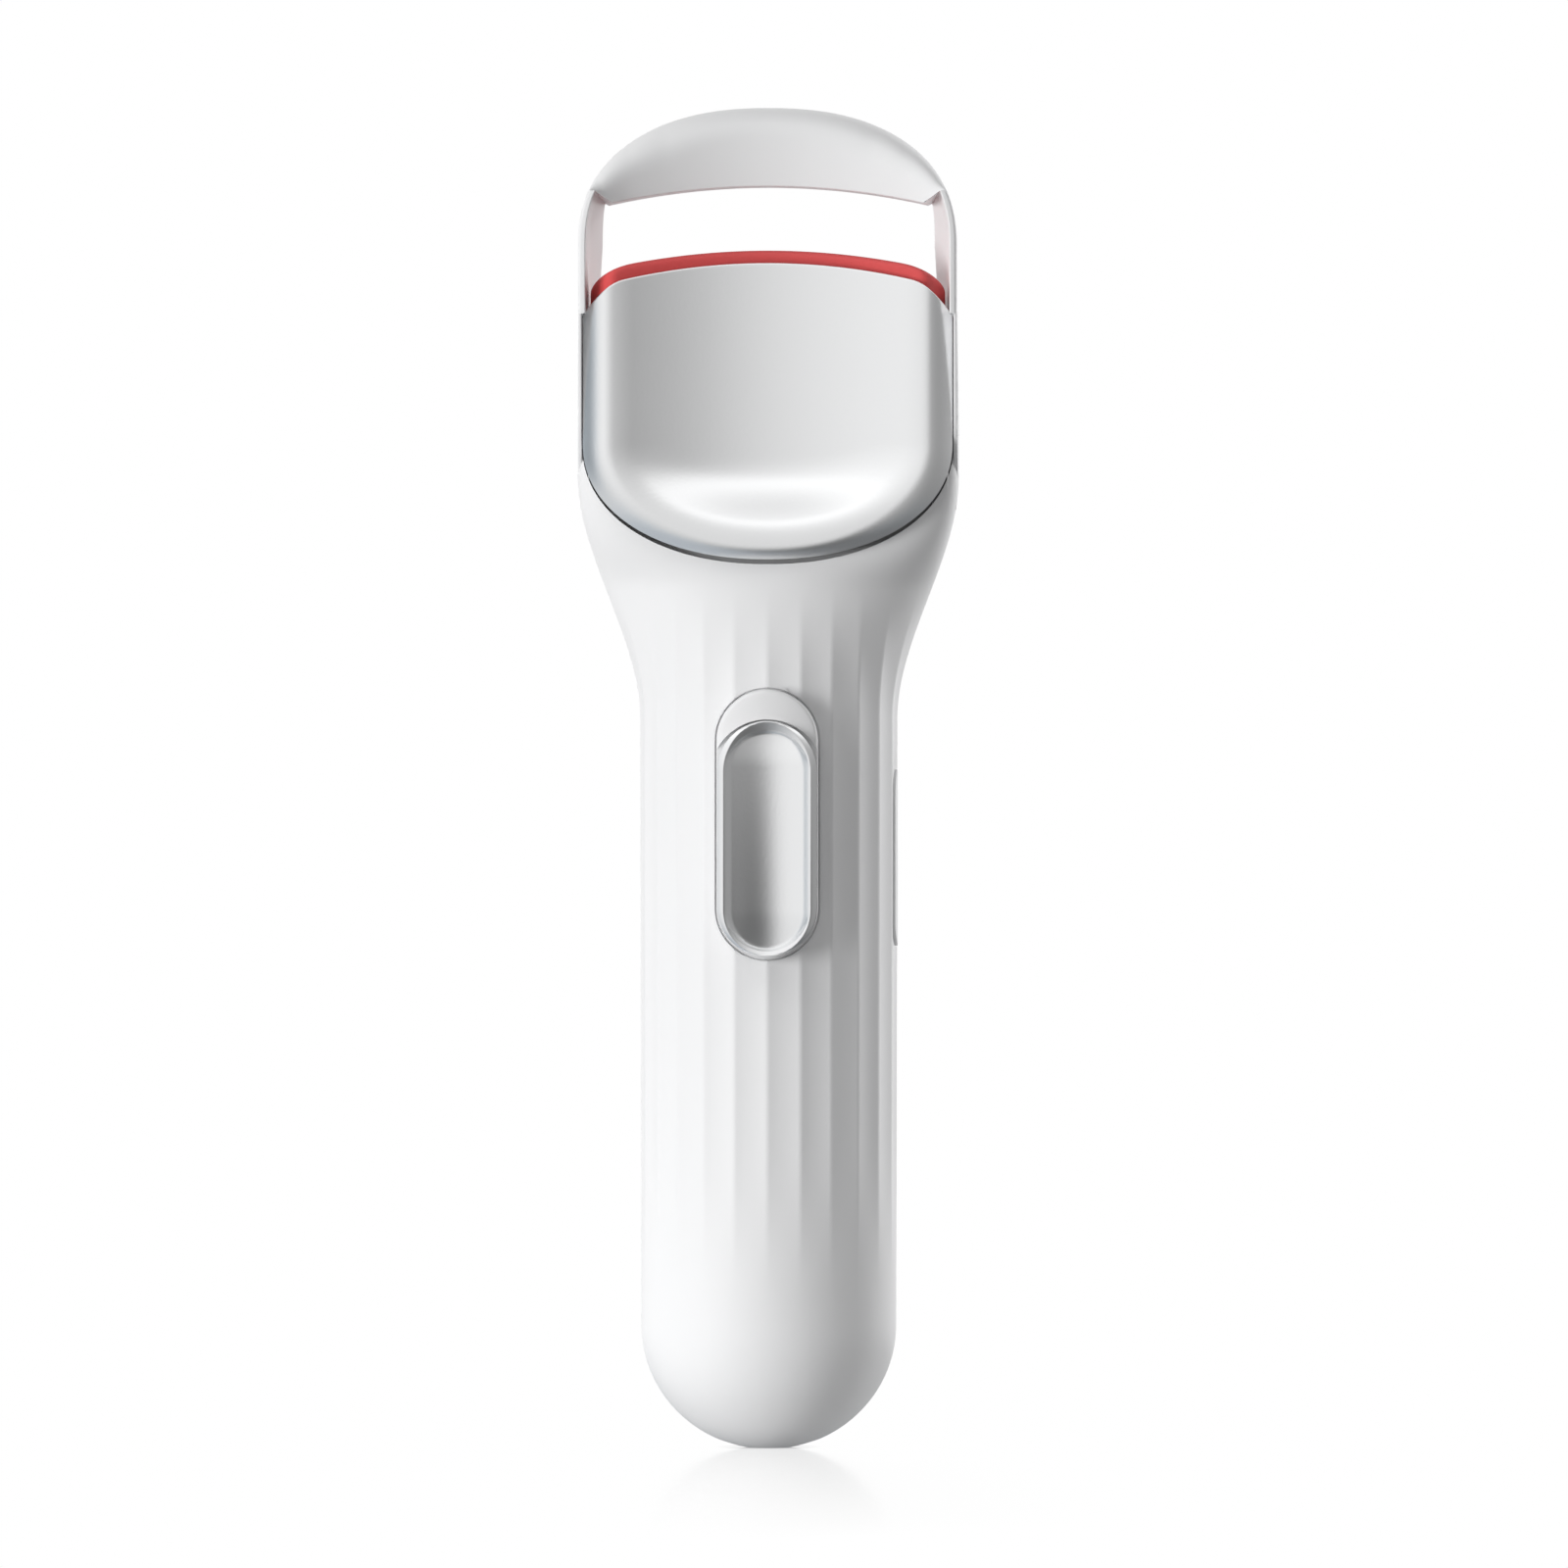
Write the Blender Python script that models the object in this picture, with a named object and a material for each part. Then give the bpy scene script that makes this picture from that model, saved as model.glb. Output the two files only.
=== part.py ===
"""Heated eyelash curler: fluted handle, hoop with a curved upper jaw, lower jaw on a thumb slide.

Metres, +Z up along the handle, the side held to the eye facing -Y, origin at
the bottom centre of the whole curler. Lengths below are in millimetres from
the handle's own axis, and become metres from the origin where a mesh is made.
"""
import math

import bmesh
import bpy
from mathutils import Matrix, Vector

MM = 0.001

# The thumb slide stands proud in front, so the handle's axis lies behind the origin
AXIS_Y = 1.2

# Overall body
HEIGHT = 125.0
HANDLE_HALF_WIDTH = 12.0
HANDLE_HALF_DEPTH = 11.5
HANDLE_FOOT_TAPER = 0.12
TAPER_TOP = 64.0
HEAD_HALF_WIDTH = 17.75
HEAD_FRONT = 8.0
HEAD_BACK = 8.5
HEAD_TOP = 106.0
HEAD_TOP_ROUND = 1.2
HEAD_TOP_TAPER = 0.12
NECK_START = 68.0
NECK_END = 90.5
BOX_START = 80.0
BOX_END = 94.0
FRONT_BOXINESS = 8.0
BACK_BOXINESS = 1.0
WALL = 1.6
SEAM_HALF_GAP = 0.15

# Domed foot: the small flat is where the dome's ellipse is cut off
DOME_TOP = 11.4
DOME_WIDTH_REACH = 11.6
DOME_DEPTH_REACH = 11.8
DOME_DEPTH_POWER = 2.4

# Flutes round the handle
FLUTES = 24
FLUTE_STEPS = 4
FLUTE_DEPTH = 0.2
FLUTE_FOOT = (14.0, 30.0)
FLUTE_NECK = (70.0, 81.0)

# Hoop and upper jaw
SPRING_LINE = 112.0
ARCH_HALF_WIDTH = 17.6
ARCH_POWER = 2.3
NOTCH_ANGLE = 20.0
NOTCH_TOP = 116.0
CORNER_ANGLE = 26.0
JAW_EDGE_TOP = 117.6
JAW_CORNER_X = 14.5
LASH_CURVE = 0.0078
HOOP_FRONT = -5.0
HOOP_BACK = 2.5
HOOP_FRONT_PLAN = 60.0
HOOP_BACK_PLAN = 90.0
HOOP_FRONT_RIM = 3.0
HOOP_RIM_SPREAD = 0.0107
HOOP_RIM_SHARE = 0.7
HOOP_RIM_EDGE = 0.16
HOOP_ROLL_DEPTH = 1.5
HOOP_ROLL_SHARE = 0.6
HOOP_BACK_RIM = 2.7
ARM_FOOT = 93.0
ARM_FOOT_X = 17.66
ARM_FOOT_FRONT = -5.5
ARM_FOOT_BACK_X = 16.2
ARM_BACK_X = 15.4
ARM_RIM_WIDTH = 0.65
ARM_DRAFT = 0.2

# Lower jaw cover
COVER_HALF_WIDTH = 17.1
COVER_SHOULDER = 93.6
COVER_DROP = 10.8
COVER_POWER = 2.15
COVER_TOP = 110.4
COVER_TOP_CURVE = 0.0088
COVER_CORNER_X = 13.3
COVER_CORNER_CURVE = 0.147
COVER_WALL = 0.6
LIP_WIDTH = 2.85
LIP_FOOT_NARROWING = 1.0
LIP_EDGE_SLOPE = 1.1
LIP_CREST = 10.1
LIP_CREST_FOOT = 0.5
LIP_FILLET = 3.8
LIP_FILLET_FOOT = 3.8
HOLLOW_CENTRE = 6.8
SKIRT_BACK = 5.1
SKIRT_FOOT = 1.6
POCKET_FLOOR = 4.8
POCKET_SIDE_GAP = 0.2
POCKET_FOOT_GAP = 0.45
LEDGE_WEB = (0.15, 0.85)
LEDGE_REACH = 1.3
LEDGE_THICKNESS = 0.5

# Slot in the head's top that the lower jaw rises through
JAW_SLOT_HALF_WIDTH = 15.95
JAW_SLOT_BACK_GAP = 0.65

# Pad and the heated stack under it
PAD_TOP = 111.6
PAD_HALF_WIDTH = 16.2
PAD_CORNER_WIDTH = 3.3
PAD_CORNER_DROP = 2.4
PAD_THICKNESS = 3.2
PAD_FRONT = 5.8
PAD_PLAN = 60.0
PAD_PLAN_END = 14.0
PAD_END_CURVE = 0.35
PAD_DEPTH = 4.2
BAR_THICKNESS = 2.0
FILM_THICKNESS = 0.8
BAR_HALF_WIDTH = 15.2
FILM_HALF_WIDTH = 14.4
CARRIER_HALF_WIDTH = 15.4
TONGUE_LOW = 86.0
TONGUE_FRONT = 2.9
TONGUE_BACK = 0.7
FIT = 0.3

# Thumb slide
LIFT = 5.7
BUTTON_WIDTH = 9.4
BUTTON_LOW = 45.65
BUTTON_HIGH = 70.65
BUTTON_RISE = 1.7
BUTTON_FLOAT = 0.35
RECESS_GAP = 0.22
RECESS_DEPTH = 0.5
DISH_WIDTH = 9.2
DISH_LOW = 45.85
DISH_HIGH = 67.75
DISH_SEAT = 12.55
DISH_CREST = 13.9
DISH_RIM = 0.72
DISH_ROLL = 0.42
DISH_STEP = 0.16
DISH_DEPTH = 0.95
DISH_END_DEPTH = 0.2
DISH_END_LENGTH = 3.6
STEM_HALF_WIDTH = 2.2
STEM_LOW = 53.0
STEM_HIGH = 62.0
STEM_BACK = 5.9
SLED_HALF_WIDTH = 3.6
SLED_FRONT = 5.6
SLED_BACK = 3.2
SLED_LOW = 50.5
SLED_HIGH = 97.2
SLOT_GAP = 0.4
RAIL_LOW = 72.0
RAIL_HIGH = 80.0

# Side key
KEY_LOW = 46.8
KEY_HIGH = 63.3
KEY_WIDTH = 4.4
KEY_RISE = 0.05
KEY_BACK = 8.8
KEY_FLANGE = 0.5
KEY_TRAVEL = 0.5
KEY_SLACK = 0.15
SWITCH_Y = 1.6
PLUNGER_TIP = 7.95

# Screws, by height or by place on the board
SCREW_WAY = 1.0
SLED_SCREWS = (89.5, 94.0)
BUTTON_SCREWS = (55.2, 59.8)
BOARD_SCREWS = ((-5.0, 75.0), (4.6, 48.2))

# Charging socket
PORT_HALF_WIDTH = 4.45
PORT_HALF_HEIGHT = 1.6
PORT_WALL = 0.3
PORT_LOW = 0.9
PORT_HIGH = 8.0

# Inside the handle
BATTERY_RADIUS = 6.6
BATTERY_LOW = 12.0
BATTERY_HIGH = 43.0
BATTERY_Y = 1.0
BOARD_FRONT = 3.2
BOARD_THICKNESS = 1.2
SPRING_AXIS_Y = -0.4
SPRING_RADIUS = 1.8
SPRING_WIRE = 0.25
SPRING_LOW = 71.5
SPRING_HIGH = 83.5
SPRING_TURNS = 6
RIBBON_X = (4.9, 6.9)
RIBBON_HALF = 0.12
RIBBON_HIGH = 97.0
RIBBON_LOW = 71.0
RIBBON_JAW_Y = -0.35
RIBBON_BOARD_Y = 2.6
RIBBON_BEND = (77.0, 89.0)


def clear_scene():
    """Start from an empty scene."""
    for old in list(bpy.data.objects):
        bpy.data.objects.remove(old)


def material(name, colour, roughness, metallic=0.0):
    """Plain Principled finish."""
    finish = bpy.data.materials.new(name)
    finish.use_nodes = True
    shader = finish.node_tree.nodes["Principled BSDF"]
    shader.inputs["Base Color"].default_value = (*colour, 1.0)
    shader.inputs["Roughness"].default_value = roughness
    shader.inputs["Metallic"].default_value = metallic
    finish.diffuse_color = (*colour, 1.0)
    return finish


def placed(point):
    """Point in metres from the origin."""
    x, y, z = point
    return Vector((x, y + AXIS_Y, z)) * MM


def make_object(name, points, faces, finish=None):
    """Mesh object from points in millimetres, with its faces turned outwards."""
    mesh = bpy.data.meshes.new(name)
    mesh.from_pydata([placed(p) for p in points], [], faces)
    shape = bmesh.new()
    shape.from_mesh(mesh)
    bmesh.ops.recalc_face_normals(shape, faces=shape.faces)
    shape.to_mesh(mesh)
    shape.free()
    mesh.shade_smooth()
    mesh.set_sharp_from_angle(angle=math.radians(30))
    part = bpy.data.objects.new(name, mesh)
    bpy.context.scene.collection.objects.link(part)
    if finish:
        mesh.materials.append(finish)
    return part


def loft(name, rings, finish=None):
    """Closed solid through rings of equal length, with flat ends."""
    count = len(rings[0])
    points = [p for ring in rings for p in ring]
    faces = []
    for level in range(len(rings) - 1):
        for i in range(count):
            j = (i + 1) % count
            low = level * count
            high = low + count
            faces.append((low + i, low + j, high + j, high + i))
    last = (len(rings) - 1) * count
    faces.append(tuple(range(count)))
    faces.append(tuple(range(last, last + count)))
    return make_object(name, points, faces, finish)


def prism(name, outline, axis, low, high, finish=None):
    """Extrude a closed 2D outline along x, y or z."""
    place = {
        "x": lambda u, v, w: (w, u, v),
        "y": lambda u, v, w: (u, w, v),
        "z": lambda u, v, w: (u, v, w),
    }[axis]
    rings = [[place(u, v, w) for u, v in outline] for w in (low, high)]
    return loft(name, rings, finish)


def box(name, x, y, z, finish=None):
    """Block between pairs of coordinates."""
    corners = [(x[0], y[0]), (x[1], y[0]), (x[1], y[1]), (x[0], y[1])]
    return prism(name, corners, "z", z[0], z[1], finish)


def circle(centre, radius, steps=16):
    """Points round a circle."""
    turn = 2 * math.pi / steps
    return [(centre[0] + radius * math.cos(i * turn), centre[1] + radius * math.sin(i * turn))
            for i in range(steps)]


def stadium(half_width, low, high, steps=10):
    """Upright slot outline with round ends, in (across, up)."""
    points = []
    for centre, start in ((high - half_width, 0.0), (low + half_width, math.pi)):
        for i in range(steps + 1):
            angle = start + math.pi * i / steps
            points.append((half_width * math.cos(angle), centre + half_width * math.sin(angle)))
    return points


def apply_modifiers(part):
    """Bake the modifiers into the mesh."""
    view = bpy.context.evaluated_depsgraph_get()
    baked = bpy.data.meshes.new_from_object(part.evaluated_get(view))
    part.modifiers.clear()
    part.data = baked


def combine(part, tool, operation):
    """Boolean with another object, which is used up."""
    change = part.modifiers.new(operation.lower(), "BOOLEAN")
    change.operation = operation
    change.solver = "EXACT"
    change.object = tool
    apply_modifiers(part)
    bpy.data.objects.remove(tool)
    return part


def cut(part, tool):
    return combine(part, tool, "DIFFERENCE")


def fuse(part, tool):
    return combine(part, tool, "UNION")


def keep_inside(part, tool):
    return combine(part, tool, "INTERSECT")


def round_edges(part, width, segments=2, angle=40):
    """Bevel the sharp edges."""
    edge = part.modifiers.new("edges", "BEVEL")
    edge.width = width * MM
    edge.segments = segments
    edge.limit_method = "ANGLE"
    edge.angle_limit = math.radians(angle)
    apply_modifiers(part)
    return part


def smooth(low, high, value):
    """Smooth step from 0 at low to 1 at high."""
    t = min(max((value - low) / (high - low), 0.0), 1.0)
    return t * t * (3 - 2 * t)


# Outer form of the body

def dome_scale(z):
    """How far the foot's dome draws the section in, across and front to back."""
    if z >= DOME_TOP:
        return 1.0, 1.0
    below = DOME_TOP - z
    across = math.sqrt(1 - (below / DOME_WIDTH_REACH) ** 2)
    deep = (1 - (below / DOME_DEPTH_REACH) ** DOME_DEPTH_POWER) ** (1 / DOME_DEPTH_POWER)
    return across, deep


def body_section(z, inset=0.0, steps=32, fluted=False):
    """One ring of the body: an ellipse in the handle, squarer towards the head."""
    across, deep = dome_scale(z)
    flare = smooth(NECK_START, NECK_END, z)
    boxy = smooth(BOX_START, BOX_END, z)
    handle = HANDLE_HALF_WIDTH - HANDLE_FOOT_TAPER * (1 - min(z / TAPER_TOP, 1.0))
    half_width = across * (handle + (HEAD_HALF_WIDTH - HANDLE_HALF_WIDTH) * flare) - inset
    half_width -= HEAD_TOP_TAPER * smooth(BOX_END, HEAD_TOP, z)
    front = deep * (HANDLE_HALF_DEPTH + (HEAD_FRONT - HANDLE_HALF_DEPTH) * flare) - inset
    back = deep * (HANDLE_HALF_DEPTH + (HEAD_BACK - HANDLE_HALF_DEPTH) * flare) - inset
    depth = FLUTE_DEPTH * smooth(*FLUTE_FOOT, z) * (1 - smooth(*FLUTE_NECK, z)) if fluted else 0.0
    ring = []
    for i in range(steps):
        angle = 2 * math.pi * i / steps
        c = math.cos(angle)
        s = math.sin(angle)
        power = 2 + (FRONT_BOXINESS if s > 0 else BACK_BOXINESS) * boxy
        x = math.copysign(abs(c) ** (2 / power), c) * half_width
        y = -math.copysign(abs(s) ** (2 / power), s) * (front if s > 0 else back)
        across_flute = (FLUTES * i / steps) % 1.0
        hollow = depth * 4 * across_flute * (1 - across_flute)
        shrink = 1 - hollow / math.hypot(x, y)
        ring.append((x * shrink, y * shrink, z))
    return ring


def outer_form():
    """Whole outside of handle, neck and head, with a rounded rim round the head's top."""
    dome = [DOME_TOP * (1 - math.cos(math.radians(15 * i))) for i in range(7)]
    flute_fade = [17.0, 20.0, 23.0, 26.0, 30.0]
    neck = [66.0, 70.0, 72.5, 75.0, 77.5, 80.0, 82.5, 85.0, 87.5, 90.0, 92.0, 94.0]
    steps = FLUTES * FLUTE_STEPS
    rings = [body_section(z, 0.0, steps, True) for z in dome + flute_fade + neck]
    for i in range(4):
        turn = math.radians(30 * i)
        z = HEAD_TOP - HEAD_TOP_ROUND * (1 - math.sin(turn))
        rings.append(body_section(z, HEAD_TOP_ROUND * (1 - math.cos(turn)), steps))
    return loft("outer_form", rings)


def inner_form(name, inset):
    """The body's form drawn in from the outside by an even inset."""
    levels = [1.2 * inset + 1.2, 5.5, 8.5, 12.0] + [66.0 + 4 * i for i in range(8)] + [HEAD_TOP - inset]
    return loft(name, [body_section(z, inset) for z in levels])


def cavity_form():
    return inner_form("cavity", WALL)


def wall_middle():
    """Runs halfway through the wall, to trim ribs that grow from it."""
    return inner_form("wall_middle", WALL / 2)


def half_space(front):
    """Block that holds the front or the rear half, up to the seam's gap."""
    reach = 40.0
    y = (-reach, -SEAM_HALF_GAP) if front else (SEAM_HALF_GAP, reach)
    return box("half", (-reach, reach), y, (-reach, HEIGHT + reach))


# Hoop with the upper jaw

def arch_point(angle):
    c = math.cos(math.radians(angle))
    s = math.sin(math.radians(angle))
    rise = HEIGHT - SPRING_LINE
    return (ARCH_HALF_WIDTH * max(c, 0.0) ** (2 / ARCH_POWER), SPRING_LINE + rise * s ** (2 / ARCH_POWER))


def jaw_edge(x, top=JAW_EDGE_TOP):
    """Curve that the two jaws share, seen from the front."""
    return top - LASH_CURVE * x * x


def hoop_stations():
    """Right half of the hoop: outer point, inner front, inner middle, inner back and front depth."""
    spring_front = HOOP_FRONT - ARCH_HALF_WIDTH ** 2 / HOOP_FRONT_PLAN
    arm_steps = 5
    stations = []
    for i in range(arm_steps):
        t = i / arm_steps
        z = ARM_FOOT + (SPRING_LINE - ARM_FOOT) * t
        outer = ARM_FOOT_X + (ARCH_HALF_WIDTH - ARM_FOOT_X) * t
        inner = ARCH_HALF_WIDTH - ARM_RIM_WIDTH
        back = ARM_FOOT_BACK_X + (ARM_BACK_X - ARM_FOOT_BACK_X) * t * t
        front = ARM_FOOT_FRONT + (spring_front - ARM_FOOT_FRONT) * smooth(0.0, 1.0, t)
        stations.append(((outer, z), (inner, z), (inner - ARM_DRAFT, z), (back, z), front))
    for i in range(arm_steps + 1):
        t = i / arm_steps
        outer = arch_point(NOTCH_ANGLE * t)
        inner = (outer[0] - ARM_RIM_WIDTH, outer[1])
        middle = (inner[0] - ARM_DRAFT, inner[1] - 0.3 * t * t)
        back = (ARM_BACK_X - ARM_DRAFT * t * t, SPRING_LINE + (NOTCH_TOP - SPRING_LINE) * t * (1.5 - t / 2))
        stations.append((outer, inner, middle, back, None))
    jaw_steps = 9
    for i in range(jaw_steps + 1):
        outer = arch_point(CORNER_ANGLE + (90.0 - CORNER_ANGLE) * i / jaw_steps)
        x = JAW_CORNER_X * outer[0] / arch_point(CORNER_ANGLE)[0]
        edge = (x, jaw_edge(x))
        back_x = x * 1.03
        stations.append((outer, edge, edge, (back_x, jaw_edge(back_x)), None))
    return stations


def toward(start, end, distance):
    """Point at a distance from start on the way to end."""
    length = math.hypot(end[0] - start[0], end[1] - start[1])
    part = distance / length
    return (start[0] + (end[0] - start[0]) * part, start[1] + (end[1] - start[1]) * part)


def hoop_ring(outer, inner, middle, back, front_depth, side):
    """Section of the hoop at one station, rounded along its outer rims."""
    def front_y(x):
        return HOOP_FRONT - x * x / HOOP_FRONT_PLAN if front_depth is None else front_depth

    def back_y(x):
        return HOOP_BACK - x * x / HOOP_BACK_PLAN

    rim = HOOP_FRONT_RIM + HOOP_RIM_SPREAD * outer[0] ** 2
    rim = min(rim, HOOP_RIM_SHARE * math.dist(outer, inner) - HOOP_RIM_EDGE)
    roll = min(HOOP_ROLL_DEPTH * rim, HOOP_ROLL_SHARE * (back_y(outer[0]) - front_y(outer[0])))
    ring = []
    for i in range(4):
        turn = math.radians(30 * i)
        x, z = toward(outer, inner, rim * (1 - math.cos(turn)))
        ring.append((x, front_y(x) + roll * (1 - math.sin(turn)), z))
    ring.append((inner[0], front_y(inner[0]), inner[1]))
    ring.append((middle[0], (front_y(inner[0]) + back_y(back[0])) / 2, middle[1]))
    ring.append((back[0], back_y(back[0]), back[1]))
    rear_rim = min(HOOP_BACK_RIM, 0.45 * math.dist(outer, back))
    for i in range(3):
        turn = math.radians(45 * i)
        x, z = toward(outer, back, rear_rim * (1 - math.sin(turn)))
        ring.append((x, back_y(x) - rear_rim * (1 - math.cos(turn)), z))
    return [(side * x, y, z) for x, y, z in ring]


def hoop():
    stations = hoop_stations()
    rings = [hoop_ring(*station, 1) for station in stations]
    rings += [hoop_ring(*station, -1) for station in reversed(stations[:-1])]
    return loft("hoop", rings)


# Lower jaw cover

def cover_top(x):
    corner = max(0.0, abs(x) - COVER_CORNER_X)
    return COVER_TOP - COVER_TOP_CURVE * x * x - COVER_CORNER_CURVE * corner * corner


def cover_edge(inset, side_steps=5, foot_steps=22, foot_extra=0.0):
    """U-shaped line at an inset from the cover's rim: down the left, round the foot, up the right."""
    half_width = COVER_HALF_WIDTH - inset
    drop = COVER_DROP - inset + foot_extra
    top = cover_top(half_width)
    left = []
    for i in range(side_steps):
        left.append((-half_width, top + (COVER_SHOULDER - top) * i / side_steps))
    foot = []
    for i in range(foot_steps + 1):
        angle = math.pi * i / foot_steps
        c = math.cos(angle)
        x = -math.copysign(abs(c) ** (2 / COVER_POWER), c) * half_width
        foot.append((x, COVER_SHOULDER - drop * math.sin(angle) ** (2 / COVER_POWER)))
    right = [(-x, z) for x, z in reversed(left)]
    return left + foot + right


def cover_inset(x, z):
    """Inset of the U-shaped line through a point."""
    if z >= COVER_SHOULDER:
        return COVER_HALF_WIDTH - abs(x)
    low = 0.0
    high = COVER_DROP
    for _ in range(40):
        guess = (low + high) / 2
        across = abs(x) / (COVER_HALF_WIDTH - guess)
        down = (COVER_SHOULDER - z) / max(COVER_DROP - guess, 1e-6)
        if across ** COVER_POWER + down ** COVER_POWER > 1:
            high = guess
        else:
            low = guess
    return low


def cover_front(x, z):
    """Depth of the cover's face: a rolled lip round a hollow that is open at the top."""
    inset = cover_inset(x, z)
    below = min(max((COVER_SHOULDER - z) / max(COVER_DROP - inset, 1e-6), 0.0), 1.0)
    crest = -LIP_CREST - LIP_CREST_FOOT * below ** 2
    width = LIP_WIDTH - LIP_FOOT_NARROWING * below ** 2
    if inset <= width:
        return crest + 0.5 * width * LIP_EDGE_SLOPE * (1 - inset / width) ** 2
    crest_x = COVER_HALF_WIDTH - LIP_WIDTH
    hollow = -HOLLOW_CENTRE - (LIP_CREST - HOLLOW_CENTRE) * min(1.0, (x / crest_x) ** 2)
    fillet = LIP_FILLET + LIP_FILLET_FOOT * below ** 2
    return crest + (hollow - crest) * smooth(width, width + fillet, inset)


def jaw_cover(finish):
    """Scooped metal cover: U-shaped strips for the lip, then a ladder of rows across the hollow."""
    insets = [0.0, 0.7, 1.4, 2.1, 2.85, 3.8, 4.8, 5.8, 6.9, 8.2]
    lines = [cover_edge(inset) for inset in insets]
    count = len(lines[0])
    points = []
    for x, z in lines[0]:
        below = max(0.0, (COVER_SHOULDER - z) / COVER_DROP)
        points.append((x, -SKIRT_BACK - SKIRT_FOOT * below ** 2, z))
    for line in lines:
        points += [(x, cover_front(x, z), z) for x, z in line]
    faces = []
    for level in range(len(insets)):
        for i in range(count - 1):
            a = level * count + i
            faces.append((a, a + 1, a + 1 + count, a + count))
    inner = len(insets) * count
    middle = count // 2
    columns = 8
    rows = []
    for j in range(middle):
        left = lines[-1][j]
        right = lines[-1][count - 1 - j]
        row = [inner + j]
        for k in range(1, columns):
            x = left[0] + (right[0] - left[0]) * k / columns
            z = cover_top(x) if j == 0 else left[1]
            row.append(len(points))
            points.append((x, cover_front(x, z), z))
        row.append(inner + count - 1 - j)
        rows.append(row)
    for upper, lower in zip(rows, rows[1:]):
        for k in range(columns):
            faces.append((upper[k], upper[k + 1], lower[k + 1], lower[k]))
    for k in range(columns):
        faces.append((rows[-1][k], rows[-1][k + 1], inner + middle))
    cover = make_object("jaw_cover", points, faces, finish)
    if cover.data.polygons[0].normal.x > 0:
        cover.data.flip_normals()
    wall = cover.modifiers.new("wall", "SOLIDIFY")
    wall.thickness = COVER_WALL * MM
    wall.offset = -1.0
    apply_modifiers(cover)
    return cover


def foot_line(angle, outset):
    """Point of the pocket's round foot, moved outwards by an outset."""
    c = math.cos(angle)
    half_width = COVER_HALF_WIDTH + POCKET_SIDE_GAP + outset
    drop = COVER_DROP + POCKET_FOOT_GAP + outset
    x = -math.copysign(abs(c) ** (2 / COVER_POWER), c) * half_width
    return x, COVER_SHOULDER - drop * math.sin(angle) ** (2 / COVER_POWER)


def cover_ledge():
    """Rib behind the cover's foot that closes the view through the gap into the neck."""
    steps = 16
    rings = []
    for i in range(steps + 1):
        angle = math.radians(10 + 160 * i / steps)
        below = math.sin(angle) ** (2 / COVER_POWER)
        front = -POCKET_FLOOR - SKIRT_FOOT * below ** 2
        back = front + LEDGE_THICKNESS
        near, far = LEDGE_WEB
        section = ((far, -12.0), (near, -12.0), (near, front), (-LEDGE_REACH, front),
                   (-LEDGE_REACH, back), (far, back))
        ring = []
        for outset, y in section:
            x, z = foot_line(angle, outset)
            ring.append((x, y, z))
        rings.append(ring)
    return keep_inside(loft("ledge", rings), wall_middle())


def cover_pocket():
    """Opening in the head's front that the cover drops into."""
    edge = cover_edge(-POCKET_SIDE_GAP, foot_extra=POCKET_FOOT_GAP - POCKET_SIDE_GAP)
    corner = HEAD_TOP + 0.25
    open_x = ARCH_HALF_WIDTH - 1.0
    outline = [(x, z) for x, z in edge if z < corner - 1.0]
    outline = [(outline[0][0], corner)] + outline + [(-outline[0][0], corner)]
    outline += [(open_x, corner), (open_x, HEAD_TOP + 3), (-open_x, HEAD_TOP + 3), (-open_x, corner)]
    return prism("pocket", outline, "y", -30.0, -POCKET_FLOOR)


# Shells

def pad_front(x):
    """Front line of the lash pad in plan: hollow like the jaw, turned back at the ends."""
    reach = min(abs(x), PAD_PLAN_END)
    end = max(0.0, abs(x) - PAD_PLAN_END)
    return -PAD_FRONT - reach * reach / PAD_PLAN + PAD_END_CURVE * end * end


def jaw_slot():
    """Slot in the head's top that the heated jaw rises through."""
    steps = 12
    outline = []
    for i in range(steps + 1):
        x = -JAW_SLOT_HALF_WIDTH + 2 * JAW_SLOT_HALF_WIDTH * i / steps
        reach = min(abs(x), PAD_PLAN_END)
        outline.append((x, -PAD_FRONT - reach * reach / PAD_PLAN + PAD_DEPTH + JAW_SLOT_BACK_GAP))
    outline += [(JAW_SLOT_HALF_WIDTH, -14.0), (-JAW_SLOT_HALF_WIDTH, -14.0)]
    return prism("jaw_slot", outline, "z", HEAD_TOP - 4.0, HEAD_TOP + 4.0)


def key_opening():
    outline = stadium(KEY_WIDTH / 2 + FIT, KEY_LOW - FIT, KEY_HIGH + FIT)
    return prism("key_opening", outline, "x", 6.0, 16.0)


def port_outline(gap=0.0):
    """Rounded outline of the charging socket, seen from below."""
    upright = stadium(PORT_HALF_HEIGHT + gap, -PORT_HALF_WIDTH - gap, PORT_HALF_WIDTH + gap, 6)
    return [(along, across) for across, along in upright]


def port_opening():
    return prism("port_opening", port_outline(FIT), "z", -5.0, 6.0)


def button_recess():
    """Shallow recess that the thumb slide rests over, a little larger than the slide."""
    half_width = BUTTON_WIDTH / 2 + RECESS_GAP
    outline = stadium(half_width, BUTTON_LOW - RECESS_GAP, BUTTON_HIGH + RECESS_GAP)
    return cut(prism("recess", outline, "y", -16.0, -6.0), oval_tube("recess_floor", -RECESS_DEPTH))


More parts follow.
